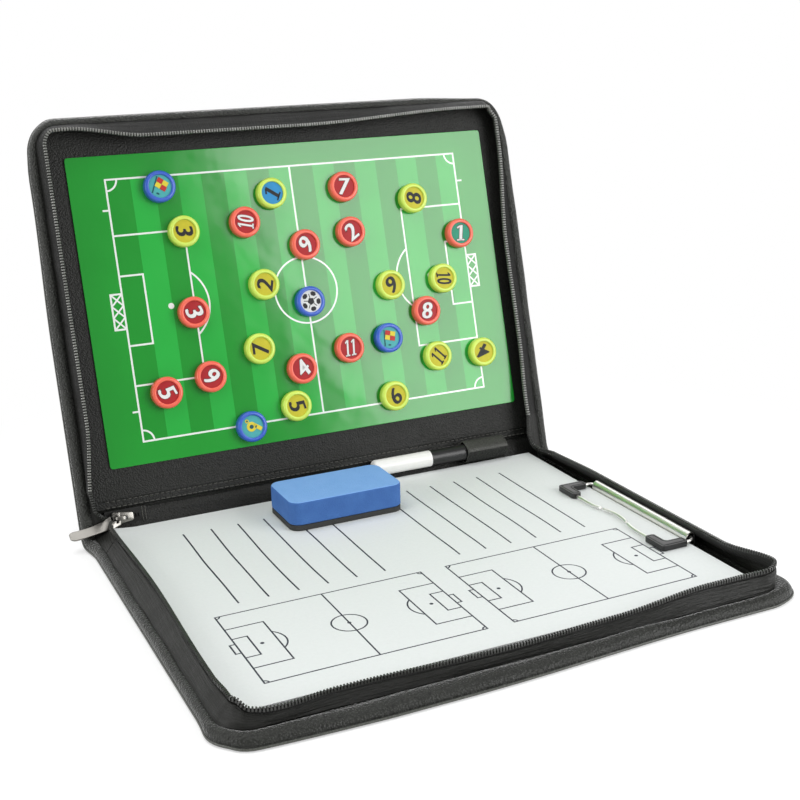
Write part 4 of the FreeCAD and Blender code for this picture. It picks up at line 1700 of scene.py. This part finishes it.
# %% Stage
def floor_finish():
    """Pale floor round the object that turns plain white further out."""
    finish = Finish("floor_white")
    finish.surface(Base_Color=(0.62, 0.62, 0.62, 1.0), Roughness=0.9, Specular_IOR_Level=0.0)
    seen = finish.rays("Is Camera Ray", "Is Glossy Ray")
    glow = finish.node("ShaderNodeEmission", None, {"Strength": seen * 0.42})
    near = finish.node("ShaderNodeAddShader", None, {0: Tone(finish, finish.shader.outputs[0]), 1: glow})
    white = finish.node("ShaderNodeEmission", None, {"Strength": seen * 0.6 + 0.4})
    x, y = finish.split(finish.spot(shift=(0.0, -40.0, 0.0)))[:2]
    far = finish.node("ShaderNodeMapRange", {"interpolation_type": "SMOOTHSTEP"},
                      {0: length_of(x, y), 1: 190.0, 2: 420.0})
    both = finish.node("ShaderNodeMixShader", None, {0: far, 1: near, 2: white})
    finish.feed(finish.tree.nodes["Material Output"].inputs["Surface"], both)
    return finish.material


floor = add("floor", "circle", vertices=96, radius=4.0, fill_type="NGON", location=(0.0, 0.0, -0.0004))
rest(floor)
dress(floor, floor_finish())

WORLD_LIGHT = 0.36
sky = Finish("studio", bpy.data.worlds, "Background")
sky.surface(Color=(1.0, 1.0, 1.0, 1.0),
            Strength=sky.rays("Is Camera Ray", "Is Transmission Ray") * (1.0 - WORLD_LIGHT) + WORLD_LIGHT)
bpy.context.scene.world = sky.material
print("floor and world ready")

# %% Lights
def softbox(name, spot, target, width, height, power, roll_angle=0.0):
    light = bpy.data.lights.new(name, "AREA")
    light.shape = "RECTANGLE"
    light.size, light.size_y, light.energy = width, height, power
    lamp = bpy.data.objects.new(name, light)
    bpy.context.collection.objects.link(lamp)
    aim = (Vector(target) - Vector(spot)).to_track_quat("-Z", "Y").to_matrix().to_4x4()
    lamp.matrix_world = Matrix.Translation(spot) @ aim @ Matrix.Rotation(roll_angle, 4, "Z")


BOARD_MIDDLE = on_lid(0.0, PITCH_MID, BOARD_TOP)
GLARE_AROUND, GLARE_UP, GLARE_AWAY = math.radians(38.5), math.radians(17.0), 1.6
level = math.cos(GLARE_UP)
toward_glare = Vector((math.sin(GLARE_AROUND) * level, -math.cos(GLARE_AROUND) * level, math.sin(GLARE_UP)))
softbox("glare_box", BOARD_MIDDLE + toward_glare * GLARE_AWAY, BOARD_MIDDLE, 0.98, 1.0, 17.6,
        math.radians(11.5))
softbox("overhead_box", (-0.35, 0.2, 1.7), (0.0, 0.0, 0.0), 1.5, 1.5, 15.0)
softbox("left_fill", (-1.7, -0.05, 0.5), (0.0, 0.0, 0.1), 1.0, 1.0, 14.0)
softbox("back_box", (0.3, 1.6, 1.0), (0.0, 0.1, 0.1), 3.0, 1.6, 18.0)
print("four softboxes")

# %% Camera
LENS = 57.735
CAMERA_SPOT = (-0.2989, -0.6013, 0.3150)
RIGHT, UP = (0.902170, -0.430823, -0.021942), (0.145787, 0.256628, 0.955452)
BACK = (-0.405999, -0.865179, 0.294330)
camera_data = bpy.data.cameras.new("camera")
camera_data.sensor_width = 36.0
camera_data.lens = LENS
camera = bpy.data.objects.new("camera", camera_data)
bpy.context.collection.objects.link(camera)
camera.matrix_world = Matrix.Translation(CAMERA_SPOT) @ Matrix((RIGHT, UP, BACK)).transposed().to_4x4()
bpy.context.scene.camera = camera
bpy.context.scene.view_settings.view_transform = "Standard"
print("camera at", CAMERA_SPOT)

# %% Tidy the bench and finish
for helper in (tooth, stitch, blank):
    bpy.data.objects.remove(helper)
